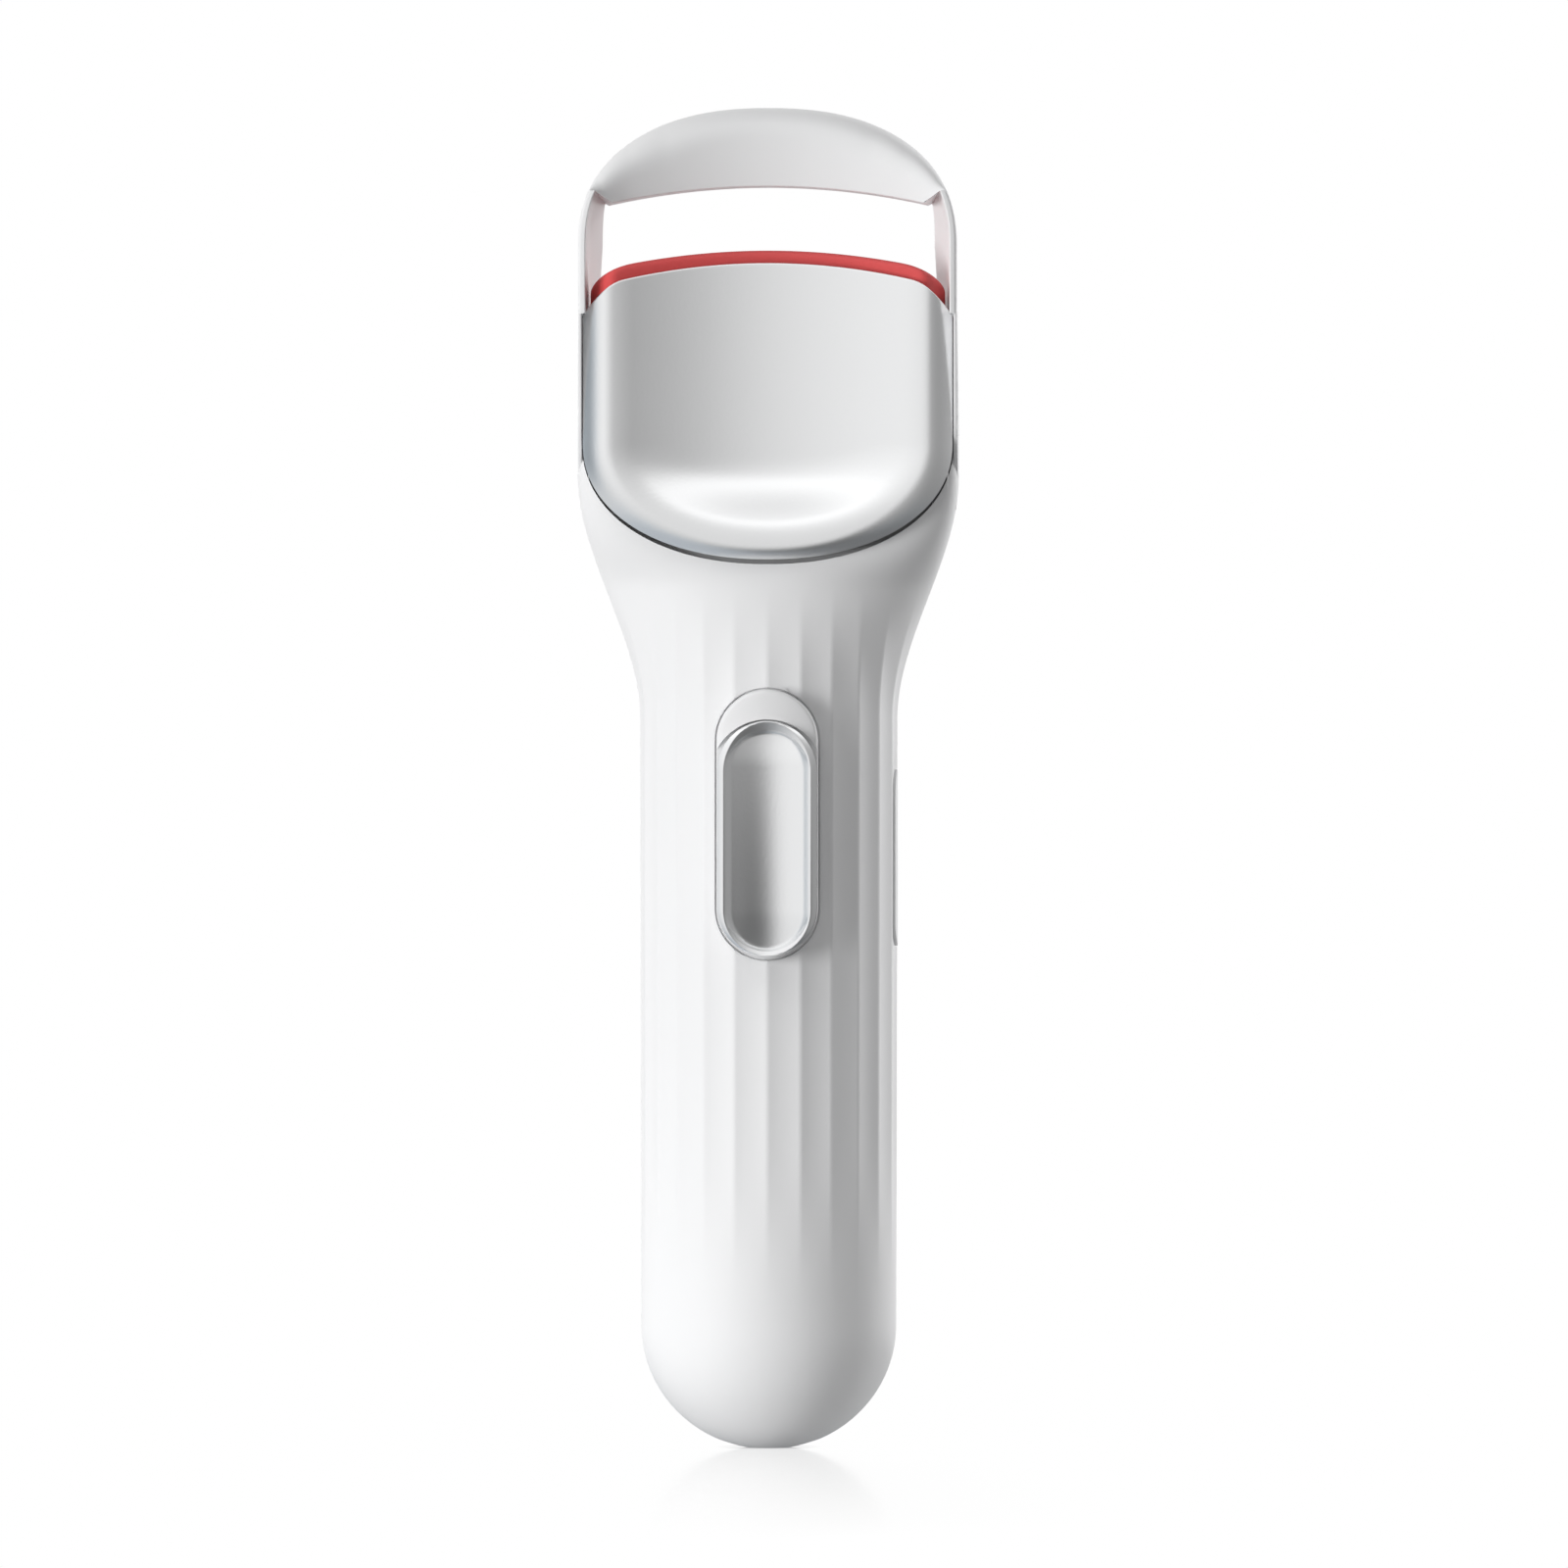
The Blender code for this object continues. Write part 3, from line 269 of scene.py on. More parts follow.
class CurlerSizes(PropertyGroup):
    """Sizes of the visible skins."""

    wall: FloatProperty(name="Wall", description="Thickness of the white mouldings",
                        default=0.001, unit="LENGTH")
    sheet: FloatProperty(name="Sheet", description="Thickness of the metal cover",
                         default=0.0006, unit="LENGTH")
    edge: FloatProperty(name="Edge", description="Rounding of the mouldings' edges",
                        default=0.00012, unit="LENGTH")
    flute: FloatProperty(name="Flute", description="Depth of the handle's flutes",
                         default=0.0002, unit="LENGTH")
    pad_round: FloatProperty(name="Pad edge", description="Rounding of the lash pad",
                             default=0.0007, unit="LENGTH")
    dish_depth: FloatProperty(name="Dish", description="Depth of the thumb dish",
                              default=0.00095, unit="LENGTH")


class CurlerColours(PropertyGroup):
    """Colours of the finishes."""

    white: FloatVectorProperty(name="White", description="Moulded plastic", subtype="COLOR",
                               default=(0.86, 0.862, 0.868))
    metal: FloatVectorProperty(name="Metal", description="Satin plated metal", subtype="COLOR",
                               default=(0.9, 0.905, 0.91))
    red: FloatVectorProperty(name="Red", description="Silicone lash pad", subtype="COLOR",
                             default=(0.7, 0.085, 0.085))
    nylon: FloatVectorProperty(name="Nylon", description="Carrier and sled", subtype="COLOR",
                               default=(0.25, 0.25, 0.26))
    film: FloatVectorProperty(name="Film", description="Heater film and ribbon", subtype="COLOR",
                              default=(0.55, 0.25, 0.04))
    board: FloatVectorProperty(name="Board", description="Circuit boards", subtype="COLOR",
                               default=(0.02, 0.16, 0.07))
    cell: FloatVectorProperty(name="Cell", description="Sleeve of the battery", subtype="COLOR",
                              default=(0.05, 0.2, 0.45))
    dark: FloatVectorProperty(name="Dark", description="Switch and thermistor", subtype="COLOR",
                              default=(0.06, 0.06, 0.065))
    steel: FloatVectorProperty(name="Steel", description="Screws, spring and socket", subtype="COLOR",
                               default=(0.6, 0.6, 0.62))
    aluminium: FloatVectorProperty(name="Aluminium", description="Heater bar", subtype="COLOR",
                                   default=(0.77, 0.78, 0.79))


class CurlerStage(PropertyGroup):
    """Camera and light."""

    distance: FloatProperty(name="Distance", description="From the camera to the handle's axis",
                            default=2.5, unit="LENGTH")
    turn: FloatProperty(name="Turn", description="Camera's turn about the curler",
                        default=math.radians(0.7), subtype="ANGLE")
    view_width: FloatProperty(name="View width", description="Width that the picture shows at the object",
                              default=0.1464, unit="LENGTH")
    key_power: FloatProperty(name="Key", description="Power of the main light", default=4.7, unit="POWER")
    top_power: FloatProperty(name="Top", description="Power of the light above", default=1.1, unit="POWER")
    rim_power: FloatProperty(name="Rim", description="Power of the light behind", default=5.6, unit="POWER")
    ambient: FloatProperty(name="Ambient", description="Share of the surroundings that lights dull surfaces",
                           default=0.43, subtype="FACTOR")


# Forms

def smooth(low, high, value):
    """Smooth step from 0 at low to 1 at high."""
    t = min(max((value - low) / (high - low), 0.0), 1.0)
    return t * t * (3 - 2 * t)


def ease(low, high, value):
    """Step from 0 at low to 1 at high whose curvature is also even at both ends."""
    t = min(max((value - low) / (high - low), 0.0), 1.0)
    return t ** 3 * (10 - 15 * t + 6 * t * t)


def dome_scale(z):
    """How far the foot's dome draws the section in, across and front to back."""
    if z >= DOME_TOP:
        return 1.0, 1.0
    below = DOME_TOP - z
    across = math.sqrt(1 - (below / DOME_WIDTH_REACH) ** 2)
    deep = (1 - (below / DOME_DEPTH_REACH) ** DOME_DEPTH_POWER) ** (1 / DOME_DEPTH_POWER)
    return across, deep


def body_half_width(z):
    """Half width of the body above the foot's dome."""
    flare = smooth(NECK_START, NECK_END, z)
    handle = HANDLE_HALF_WIDTH - HANDLE_FOOT_TAPER * (1 - min(z / TAPER_TOP, 1.0))
    half_width = handle + (HEAD_HALF_WIDTH - HANDLE_HALF_WIDTH) * flare
    return half_width - HEAD_TOP_TAPER * smooth(BOX_END, HEAD_TOP, z)


def body_point(angle, side, z, flute, inset=0.0):
    """Point of the fluted body at an angle from +X, in front of the seam (side 1) or behind it (side -1)."""
    across, deep = dome_scale(z)
    flare = smooth(NECK_START, NECK_END, z)
    boxy = smooth(BOX_START, BOX_END, z)
    half_width = across * body_half_width(z) - inset
    narrowing = (1 - HANDLE_HALF_WIDTH / max(half_width, HANDLE_HALF_WIDTH)) * (1 - smooth(*FLUTE_SPREAD, z))
    c = math.cos(angle)
    c *= 1 - narrowing * (1 - abs(c) ** FLUTE_SIDE_POWER)
    s = math.sqrt(max(0.0, 1 - c * c))
    head = HEAD_FRONT if side > 0 else HEAD_BACK
    reach = deep * (HANDLE_HALF_DEPTH + (head - HANDLE_HALF_DEPTH) * flare) - inset
    power = 2 + (FRONT_BOXINESS if side > 0 else BACK_BOXINESS) * boxy
    grow = (abs(c) ** power + s ** power) ** (-1 / power)
    x = c * grow * half_width
    y = -math.copysign(SEAM_HALF_GAP + (reach - SEAM_HALF_GAP) * s * grow, side)
    depth = flute * smooth(*FLUTE_FOOT, z) * (1 - smooth(*FLUTE_NECK, z))
    across_flute = (FLUTES * angle / (2 * math.pi)) % 1.0
    shrink = 1 - depth * 4 * across_flute * (1 - across_flute) / math.hypot(x, y)
    return x * shrink, y * shrink, z


def head_front(x, z):
    """Depth of the body's front face over a point seen from the front."""
    flare = smooth(NECK_START, NECK_END, z)
    boxy = smooth(BOX_START, BOX_END, z)
    half_width = HANDLE_HALF_WIDTH + (HEAD_HALF_WIDTH - HANDLE_HALF_WIDTH) * flare
    reach = HANDLE_HALF_DEPTH + (HEAD_FRONT - HANDLE_HALF_DEPTH) * flare
    power = 2 + FRONT_BOXINESS * boxy
    return -reach * max(0.0, 1 - (abs(x) / half_width) ** power) ** (1 / power)


def handle_height(row):
    """Height of a row between the foot's dome and the neck."""
    return DOME_TOP + (NECK_START - DOME_TOP) * row / HANDLE_ROWS


def oval_depth(x, rise):
    """Distance in front of the axis of a surface that follows the handle at a rise."""
    return (HANDLE_HALF_DEPTH + rise) * math.sqrt(1 - (x / (HANDLE_HALF_WIDTH + rise)) ** 2)


def jaw_edge(x, top=JAW_EDGE_TOP):
    """Curve that the two jaws share, seen from the front."""
    return top - LASH_CURVE * x * x


def arch_point(angle):
    """Point on the hoop's outer line."""
    c = math.cos(math.radians(angle))
    s = math.sin(math.radians(angle))
    rise = HEIGHT - SPRING_LINE
    return ARCH_HALF_WIDTH * max(c, 0.0) ** (2 / ARCH_POWER), SPRING_LINE + rise * s ** (2 / ARCH_POWER)


def cover_top(x):
    """Height of the cover's upper edge."""
    corner = max(0.0, abs(x) - COVER_CORNER_X)
    return COVER_TOP - COVER_TOP_CURVE * x * x - COVER_CORNER_CURVE * corner * corner


def cover_inset(x, z):
    """Inset of the U-shaped line through a point of the cover."""
    if z >= COVER_SHOULDER:
        return COVER_HALF_WIDTH - abs(x)
    low = 0.0
    high = COVER_DROP
    for _ in range(HALVINGS):
        guess = (low + high) / 2
        across = abs(x) / (COVER_HALF_WIDTH - guess)
        down = (COVER_SHOULDER - z) / max(COVER_DROP - guess, 1e-6)
        if across ** COVER_POWER + down ** COVER_POWER > 1:
            high = guess
        else:
            low = guess
    return low


def cover_front(x, z):
    """Depth of the cover's face: a rolled lip round a hollow that is open at the top."""
    inset = cover_inset(x, z)
    below = min(max((COVER_SHOULDER - z) / max(COVER_DROP - inset, 1e-6), 0.0), 1.0)
    width = LIP_WIDTH - LIP_FOOT_NARROWING * below ** 2
    roll = max(0.0, 1 - inset / width)
    lip = -LIP_CREST - LIP_CREST_FOOT * below ** 2 + 0.5 * width * LIP_EDGE_SLOPE * roll ** 2
    hollow = -HOLLOW_CENTRE - (LIP_CREST - HOLLOW_CENTRE) * (x / HOLLOW_EDGE) ** 2
    hollow -= HOLLOW_FOOT_RISE * below ** 2 * (1 - ease(0.0, HOLLOW_FOOT_REACH, inset))
    share = min(max(0.5 + 0.5 * (hollow - lip) / LIP_BLEND, 0.0), 1.0)
    return lip + (hollow - lip) * share + LIP_BLEND * share * (1 - share)


def foot_line(angle, outset):
    """Point of the pocket's round foot, moved outwards by an outset."""
    c = math.cos(angle)
    half_width = COVER_HALF_WIDTH + POCKET_SIDE_GAP + outset
    drop = COVER_DROP + POCKET_FOOT_GAP + outset
    x = -math.copysign(abs(c) ** (2 / COVER_POWER), c) * half_width
    return x, COVER_SHOULDER - drop * math.sin(angle) ** (2 / COVER_POWER)


def pad_spine(x):
    """Plan curve of the lower jaw."""
    reach = min(abs(x), PAD_PLAN_END)
    return -PAD_FRONT - reach * reach / PAD_PLAN


def port_edge(share, side):
    """Front or back half of the socket's opening in the foot, from left to right, in (across, depth)."""
    half = PORT_HALF_HEIGHT + FIT
    centre = PORT_HALF_WIDTH + FIT - half
    lift = half - SEAM_HALF_GAP
    end = PORT_END_SHARE
    if share < end:
        turn = math.pi / 2 * share / end
        x = -centre - half * math.cos(turn)
        y = SEAM_HALF_GAP + lift * math.sin(turn)
    elif share > 1 - end:
        turn = math.pi / 2 * (1 - share) / end
        x = centre + half * math.cos(turn)
        y = SEAM_HALF_GAP + lift * math.sin(turn)
    else:
        x = centre * (2 * (share - end) / (1 - 2 * end) - 1)
        y = half
    return x, -side * y


def dome_height(x, y):
    """Height of the foot's dome over a point of the plan."""
    low = 0.0
    high = DOME_TOP
    for _ in range(HALVINGS):
        z = (low + high) / 2
        across, deep = dome_scale(z)
        handle = HANDLE_HALF_WIDTH - HANDLE_FOOT_TAPER * (1 - z / TAPER_TOP)
        if (x / (across * handle)) ** 2 + (y / (deep * HANDLE_HALF_DEPTH)) ** 2 > 1:
            low = z
        else:
            high = z
    return low


def foot_point(share, side, t):
    """Point of the foot between the socket's opening (t = 0) and the top of the dome (t = 1)."""
    start = port_edge(share, side)
    angle = math.pi * (1 - share)
    end = body_point(angle, side, DOME_TOP, 0.0)
    if t >= 1.0:
        return end
    part = math.sin(math.pi / 2 * t)
    x = start[0] + (end[0] - start[0]) * part
    y = start[1] + (end[1] - start[1]) * part
    return x, y, dome_height(x, y)


def rounded(corners, reaches, steps, limit=0.5):
    """Closed line through 3D corners, each rounded over a pair of reaches along the sides that meet there."""
    points = []
    count = len(corners)
    for i, corner in enumerate(corners):
        ends = []
        for other, reach in zip((corners[i - 1], corners[(i + 1) % count]), reaches[i]):
            share = min(reach / math.dist(corner, other), limit)
            ends.append([c + (o - c) * share for c, o in zip(corner, other)])
        for k in range(steps + 1):
            t = k / steps
            points.append([(1 - t) ** 2 * a + 2 * t * (1 - t) * c + t * t * b
                           for a, c, b in zip(ends[0], corner, ends[1])])
    return points


def stadium_turn(share):
    """Direction that a slot outline faces, as a turn from +X."""
    part = (share % 0.5) / ARC_SHARE
    return math.pi * (min(part, 1.0) + (1 if share >= 0.5 else 0))


def stadium_point(half_width, low, high, inset, share):
    """Point round an upright slot outline with round ends, drawn in by an inset, in (across, up)."""
    share %= 1.0
    radius = half_width - inset
    foot = low + inset + radius
    top = high - inset - radius
    centre, other = (foot, top) if share >= 0.5 else (top, foot)
    turn = stadium_turn(share)
    up = centre + radius * math.sin(turn)
    part = (share % 0.5) / ARC_SHARE
    if part > 1.0:
        slide = (part - 1.0) / (0.5 / ARC_SHARE - 1.0)
        up += (other - centre) * slide
    return radius * math.cos(turn), up


def crowned_profile(half, edge, roll_steps, top_steps):
    """Rows of (inset, depth under the top) from the underside, which has no depth, over a round edge."""
    profile = [(half, None), (0.0, None), (0.0, edge)]
    for i in range(1, roll_steps + 1):
        turn = math.pi / 2 * i / roll_steps
        profile.append((edge * (1 - math.cos(turn)), edge * (1 - math.sin(turn))))
    return profile + [(edge + (half - edge) * i / top_steps, 0.0) for i in range(1, top_steps + 1)]


# Mesh making

def sheet(name, columns, rows, place):
    """Grid whose points are moved to place(column, row)."""
    bpy.ops.object.select_all(action="DESELECT")
    bpy.ops.mesh.primitive_grid_add(x_subdivisions=columns, y_subdivisions=rows, size=1.0)
    piece = bpy.context.object
    piece.name = name
    piece.data.name = name
    for point in piece.data.vertices:
        column = round((point.co.x + 0.5) * columns)
        row = round((point.co.y + 0.5) * rows)
        x, y, z = place(column, row)
        point.co = (x * MM, (y + AXIS_Y) * MM, z * MM)
    return piece


def seal(piece, close=True):
    """Merge meeting points, close the holes and turn the faces outwards."""
    bpy.context.view_layer.objects.active = piece
    bpy.ops.object.mode_set(mode="EDIT")
    bpy.ops.mesh.select_all(action="SELECT")
    bpy.ops.mesh.remove_doubles(threshold=1e-6)
    bpy.ops.mesh.dissolve_degenerate(threshold=1e-7)
    if close:
        bpy.ops.mesh.select_all(action="SELECT")
        bpy.ops.mesh.fill_holes(sides=0)
        bpy.ops.mesh.select_all(action="SELECT")
        bpy.ops.mesh.normals_make_consistent(inside=False)
    bpy.ops.object.mode_set(mode="OBJECT")
    return piece


def loft(name, rings):
    """Closed piece through rings of points."""
    count = len(rings[0])
    return seal(sheet(name, count, len(rings) - 1, lambda column, row: rings[row][column % count]))


def stadium_solid(name, axis, half_width, low, high, profile, columns=120):
    """Slot-shaped piece: rings of (inset, depth) along y or x that end on the slot's middle line."""
    def place(column, row):
        inset, depth = profile[row]
        across, up = stadium_point(half_width, low, high, inset, column / columns)
        if axis == "y":
            return across, depth, up
        return depth, across, up

    return seal(sheet(name, columns, len(profile) - 1, place))


def apply(piece, modifier):
    """Make a modifier's result the piece's own mesh."""
    bpy.context.view_layer.objects.active = piece
    bpy.ops.object.modifier_apply(modifier=modifier.name)


def thicken(piece, thickness):
    """Give a sheet its wall, on the inside."""
    wall = piece.modifiers.new("wall", "SOLIDIFY")
    wall.thickness = thickness
    wall.offset = -1.0
    apply(piece, wall)


def round_edges(piece, width, angle=55.0, segments=3, top=math.inf):
    """Round the sharp edges below a height, apart from those that touch the seam between the shells."""
    bpy.context.view_layer.objects.active = piece
    bpy.ops.object.mode_set(mode="EDIT")
    bpy.ops.mesh.select_mode(type="EDGE")
    bpy.ops.mesh.select_all(action="DESELECT")
    bpy.ops.mesh.edges_select_sharp(sharpness=math.radians(angle))
    bpy.ops.mesh.select_mode(type="EDGE")
    bpy.ops.object.mode_set(mode="OBJECT")
    mesh = piece.data
    weights = mesh.attributes.new("bevel_weight_edge", "FLOAT", "EDGE")
    for line in mesh.edges:
        ends = [mesh.vertices[i].co / MM for i in line.vertices]
        clear = all(abs(end.y - AXIS_Y) > SEAM_SHARP and end.z < top for end in ends)
        weights.data[line.index].value = 1.0 if line.select and clear else 0.0
    edge = piece.modifiers.new("edge", "BEVEL")
    edge.width = width
    edge.segments = segments
    edge.limit_method = "WEIGHT"
    edge.use_clamp_overlap = False
    apply(piece, edge)


def cut(piece, tool):
    """Take the tool's form out of the piece, and the tool away."""
    opening = piece.modifiers.new("opening", "BOOLEAN")
    opening.operation = "DIFFERENCE"
    opening.solver = "EXACT"
    opening.object = tool
    apply(piece, opening)
    bpy.data.objects.remove(tool)


def join(pieces):
    """Make one piece of several."""
    bpy.ops.object.select_all(action="DESELECT")
    for piece in pieces:
        piece.select_set(True)
    bpy.context.view_layer.objects.active = pieces[0]
    bpy.ops.object.join()
    return pieces[0]


def dress(piece, body, nodes, finish, angle=30.0):
    """Smooth shading, finish, and the CAD body and nodes that the piece belongs to."""
    bpy.ops.object.select_all(action="DESELECT")
    piece.select_set(True)
    bpy.context.view_layer.objects.active = piece
    bpy.ops.object.shade_smooth_by_angle(angle=math.radians(angle))
    piece.data.materials.clear()
    piece.data.materials.append(finish)
    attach(piece, body)
    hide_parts(*nodes)


# Shader nodes

def opaque(colour):
    """Colour with full opacity."""
    return (*colour, 1.0)


def fill(tree, node, inputs):
    """Give a node's inputs their values, or links from other nodes' outputs."""
    for socket, value in inputs.items():
        if isinstance(value, bpy.types.NodeSocket):
            tree.links.new(value, node.inputs[socket])
        else:
            node.inputs[socket].default_value = value


def add_node(tree, kind, inputs, **settings):
    """New node with its settings and inputs."""
    node = tree.nodes.new(kind)
    for name, value in settings.items():
        setattr(node, name, value)
    fill(tree, node, inputs)
    return node


def ramp(tree, source, span, results=(0.0, 1.0), style="SMOOTHSTEP"):
    """Value that goes from one result to the other while the source crosses a span."""
    inputs = {"Value": source, "From Min": span[0], "From Max": span[1]}
    inputs.update({"To Min": results[0], "To Max": results[1]})
    return add_node(tree, "ShaderNodeMapRange", inputs, interpolation_type=style).outputs["Result"]


def calculate(tree, operation, first, second):
    """Value calculated from two others."""
    return add_node(tree, "ShaderNodeMath", {0: first, 1: second}, operation=operation).outputs["Value"]


def distance_from_origin(tree, place):
    """Length of a place's coordinates."""
    return add_node(tree, "ShaderNodeVectorMath", {0: place}, operation="LENGTH").outputs["Value"]


def blend(tree, factor, first, second, kind="FLOAT"):
    """Blend of two values or two colours."""
    inputs = {"Factor": factor, "A": first, "B": second}
    return add_node(tree, "ShaderNodeMix", inputs, data_type=kind).outputs["Result"]


def blend_colours(tree, factor, first, second):
    """Blend of two plain colours."""
    return blend(tree, factor, opaque(first), opaque(second), "RGBA")


def blend_shaders(tree, factor, first, second):
    """Blend of two shaders."""
    return add_node(tree, "ShaderNodeMixShader", {"Fac": factor, 1: first, 2: second}).outputs["Shader"]


# Finishes

def new_finish(name):
    """Material with nodes."""
    finish = bpy.data.materials.new(name)
    finish.use_nodes = True
    return finish


def grain_group():
    """Node group: fine grain height and a slow drift of tone, in the object's own coordinates."""
    found = bpy.data.node_groups.get("surface_grain")
    if found:
        return found
    group = bpy.data.node_groups.new("surface_grain", "ShaderNodeTree")
    for name, value in (("Grain Scale", 4000.0), ("Drift Scale", 120.0)):
        scale = group.interface.new_socket(name, in_out="INPUT", socket_type="NodeSocketFloat")
        scale.default_value = value
    for name in ("Height", "Tone"):
        group.interface.new_socket(name, in_out="OUTPUT", socket_type="NodeSocketFloat")
    entry = group.nodes.new("NodeGroupInput").outputs
    place = group.nodes.new("ShaderNodeTexCoord").outputs["Object"]
    fine_inputs = {"Vector": place, "Scale": entry["Grain Scale"], "Detail": 3.0}
    slow_inputs = {"Vector": place, "Scale": entry["Drift Scale"], "Detail": 2.0}
    fine = add_node(group, "ShaderNodeTexNoise", fine_inputs)
    slow = add_node(group, "ShaderNodeTexNoise", slow_inputs)
    add_node(group, "NodeGroupOutput", {"Height": fine.outputs["Fac"], "Tone": slow.outputs["Fac"]})
    return group


def grained(name, colour, roughness, metallic=0.0, grain=4000.0, bump=0.05, tone=0.03, spread=0.05):
    """Principled finish whose colour and roughness drift slightly and whose surface has a fine grain."""
    found = bpy.data.materials.get(name)
    if found:
        return found
    finish = new_finish(name)
    finish.diffuse_color = opaque(colour)
    tree = finish.node_tree
    surface = add_node(tree, "ShaderNodeGroup", {"Grain Scale": grain}, node_tree=grain_group())
    drift = surface.outputs["Tone"]
    low = [c * (1 - tone) for c in colour]
    high = [min(c * (1 + tone), 1.0) for c in colour]
    relief = {"Strength": bump, "Distance": GRAIN_HEIGHT, "Height": surface.outputs["Height"]}
    fill(tree, tree.nodes["Principled BSDF"], {
        "Metallic": metallic,
        "Base Color": blend_colours(tree, drift, low, high),
        "Roughness": ramp(tree, drift, (0.0, 1.0), (roughness - spread, roughness + spread), "LINEAR"),
        "Normal": add_node(tree, "ShaderNodeBump", relief).outputs["Normal"],
    })
    return finish


def white_finish(context):
    """Moulded white plastic."""
    colour = tuple(context.scene.curler_colours.white)
    return grained("white_moulding", colour, roughness=0.42, grain=5000.0, bump=0.04, tone=0.008)


def metal_finish(context):
    """Satin plated metal."""
    colour = tuple(context.scene.curler_colours.metal)
    return grained("satin_plate", colour, roughness=0.31, metallic=1.0, grain=3000.0, bump=0.08,
                   tone=0.012, spread=0.02)


def red_finish(context):
    """Soft red silicone."""
    colour = tuple(context.scene.curler_colours.red)
    return grained("soft_silicone", colour, roughness=0.55, grain=2600.0, bump=0.25, tone=0.12)


# Pieces

def recess_tool():
    """Form of the shallow recess that the thumb slide rests over."""
    half = BUTTON_WIDTH / 2 + RECESS_GAP
    low = BUTTON_LOW - RECESS_GAP
    high = BUTTON_HIGH + RECESS_GAP
    insets = (half, 0.0, 0.0, RECESS_DRAFT, half)
    columns = 160

    def place(column, row):
        x, z = stadium_point(half, low, high, insets[row], column / columns)
        return x, RECESS_TOOL_FRONT if row < 2 else -oval_depth(x, -RECESS_DEPTH), z

    return seal(sheet("recess_tool", columns, len(insets) - 1, place))


def pocket_tool():
    """Form of the pocket that the cover sits in: round foot, straight sides, open at the top."""
    half_width = COVER_HALF_WIDTH + POCKET_SIDE_GAP
    top = HEAD_TOP + POCKET_TOOL_RISE
    steps = 96
    outline = [(-half_width, top)]
    outline += [foot_line(math.pi * i / steps, 0.0) for i in range(steps + 1)]
    outline.append((half_width, top))
    count = len(outline)

    def place(column, row):
        x, z = outline[column % count]
        y = TOOL_FRONT if row < 2 else -POCKET_FLOOR
        return (x, y, z) if row in (1, 2) else (0.0, y, COVER_SHOULDER)

    return seal(sheet("pocket_tool", count, 3, place))


def key_tool():
    """Form of the key's opening."""
    half = KEY_WIDTH / 2 + KEY_GAP
    inner, outer = KEY_TOOL_REACH
    profile = [(half, inner), (0.0, inner), (0.0, outer), (half, outer)]
    return stadium_solid("key_tool", "x", half, KEY_LOW - KEY_GAP, KEY_HIGH + KEY_GAP, profile, columns=60)


def seat_tool():
    """Form of the dish's seat in the slide."""
    half = BUTTON_WIDTH / 2 + SEAT_SIDE_ROOM
    floor = FIT - DISH_SEAT
    profile = [(half, TOOL_FRONT), (0.0, TOOL_FRONT), (0.0, floor), (half, floor)]
    low = DISH_LOW - SEAT_FOOT_ROOM
    high = DISH_HIGH + SEAT_TOP_ROOM
    return stadium_solid("seat_tool", "y", half, low, high, profile)


def finish_skin(skin, sizes, tools, top=math.inf):
    """Give a half skin its wall, the key's opening, other cuts and its edges, up to a height."""
    seal(skin, close=False)
    thicken(skin, sizes.wall)
    cut(skin, key_tool())
    for tool in tools:
        cut(skin, tool)
    round_edges(skin, sizes.edge, top=top)
    return skin


def front_skin(sizes):
    """Front of the handle, neck and head, open where the cover sits."""
    flute = sizes.flute / MM
    columns = FLUTES * FLUTE_COLUMNS // 2
    neck_rows = 80
    neck_start = FOOT_ROWS + HANDLE_ROWS

    def place(column, row):
        if row <= FOOT_ROWS:
            return foot_point(column / columns, 1, row / FOOT_ROWS)
        if row <= neck_start:
            z = handle_height(row - FOOT_ROWS)
        else:
            z = NECK_START + (HEAD_TOP - NECK_START) * (row - neck_start) / neck_rows
        return body_point(math.pi * (1 - column / columns), 1, z, flute)

    skin = finish_skin(sheet("front_shell", columns, neck_start + neck_rows, place), sizes, [recess_tool()])
    cut(skin, pocket_tool())
    return skin


def rear_skin(sizes):
    """Back of the handle, neck and head, closed at the top."""
    flute = sizes.flute / MM
    columns = FLUTES * FLUTE_COLUMNS // 2
    neck_rows = 50
    roll_rows = 8
    roof_rows = 10
    straight_top = HEAD_TOP - HEAD_TOP_ROUND
    levels = [(handle_height(row), 0.0, 1.0) for row in range(1, HANDLE_ROWS + 1)]
    for i in range(1, neck_rows + 1):
        levels.append((NECK_START + (straight_top - NECK_START) * i / neck_rows, 0.0, 1.0))
    for i in range(1, roll_rows + 1):
        turn = math.pi / 2 * i / roll_rows
        inset = HEAD_TOP_ROUND * (1 - math.cos(turn))
        levels.append((straight_top + HEAD_TOP_ROUND * math.sin(turn), inset, 1.0))
    levels += [(HEAD_TOP, HEAD_TOP_ROUND, 1 - i / roof_rows) for i in range(1, roof_rows + 1)]

    def place(column, row):
        share = 1 - column / columns
        if row <= FOOT_ROWS:
            return foot_point(share, -1, row / FOOT_ROWS)
        z, inset, deep = levels[row - FOOT_ROWS - 1]
        x, y, z = body_point(math.pi * (1 - share), -1, z, flute, inset)
        return x, SEAM_HALF_GAP + (y - SEAM_HALF_GAP) * deep, z

    skin = sheet("rear_shell", columns, FOOT_ROWS + len(levels), place)
    return finish_skin(skin, sizes, [], straight_top - REAR_TOP_SHARP)


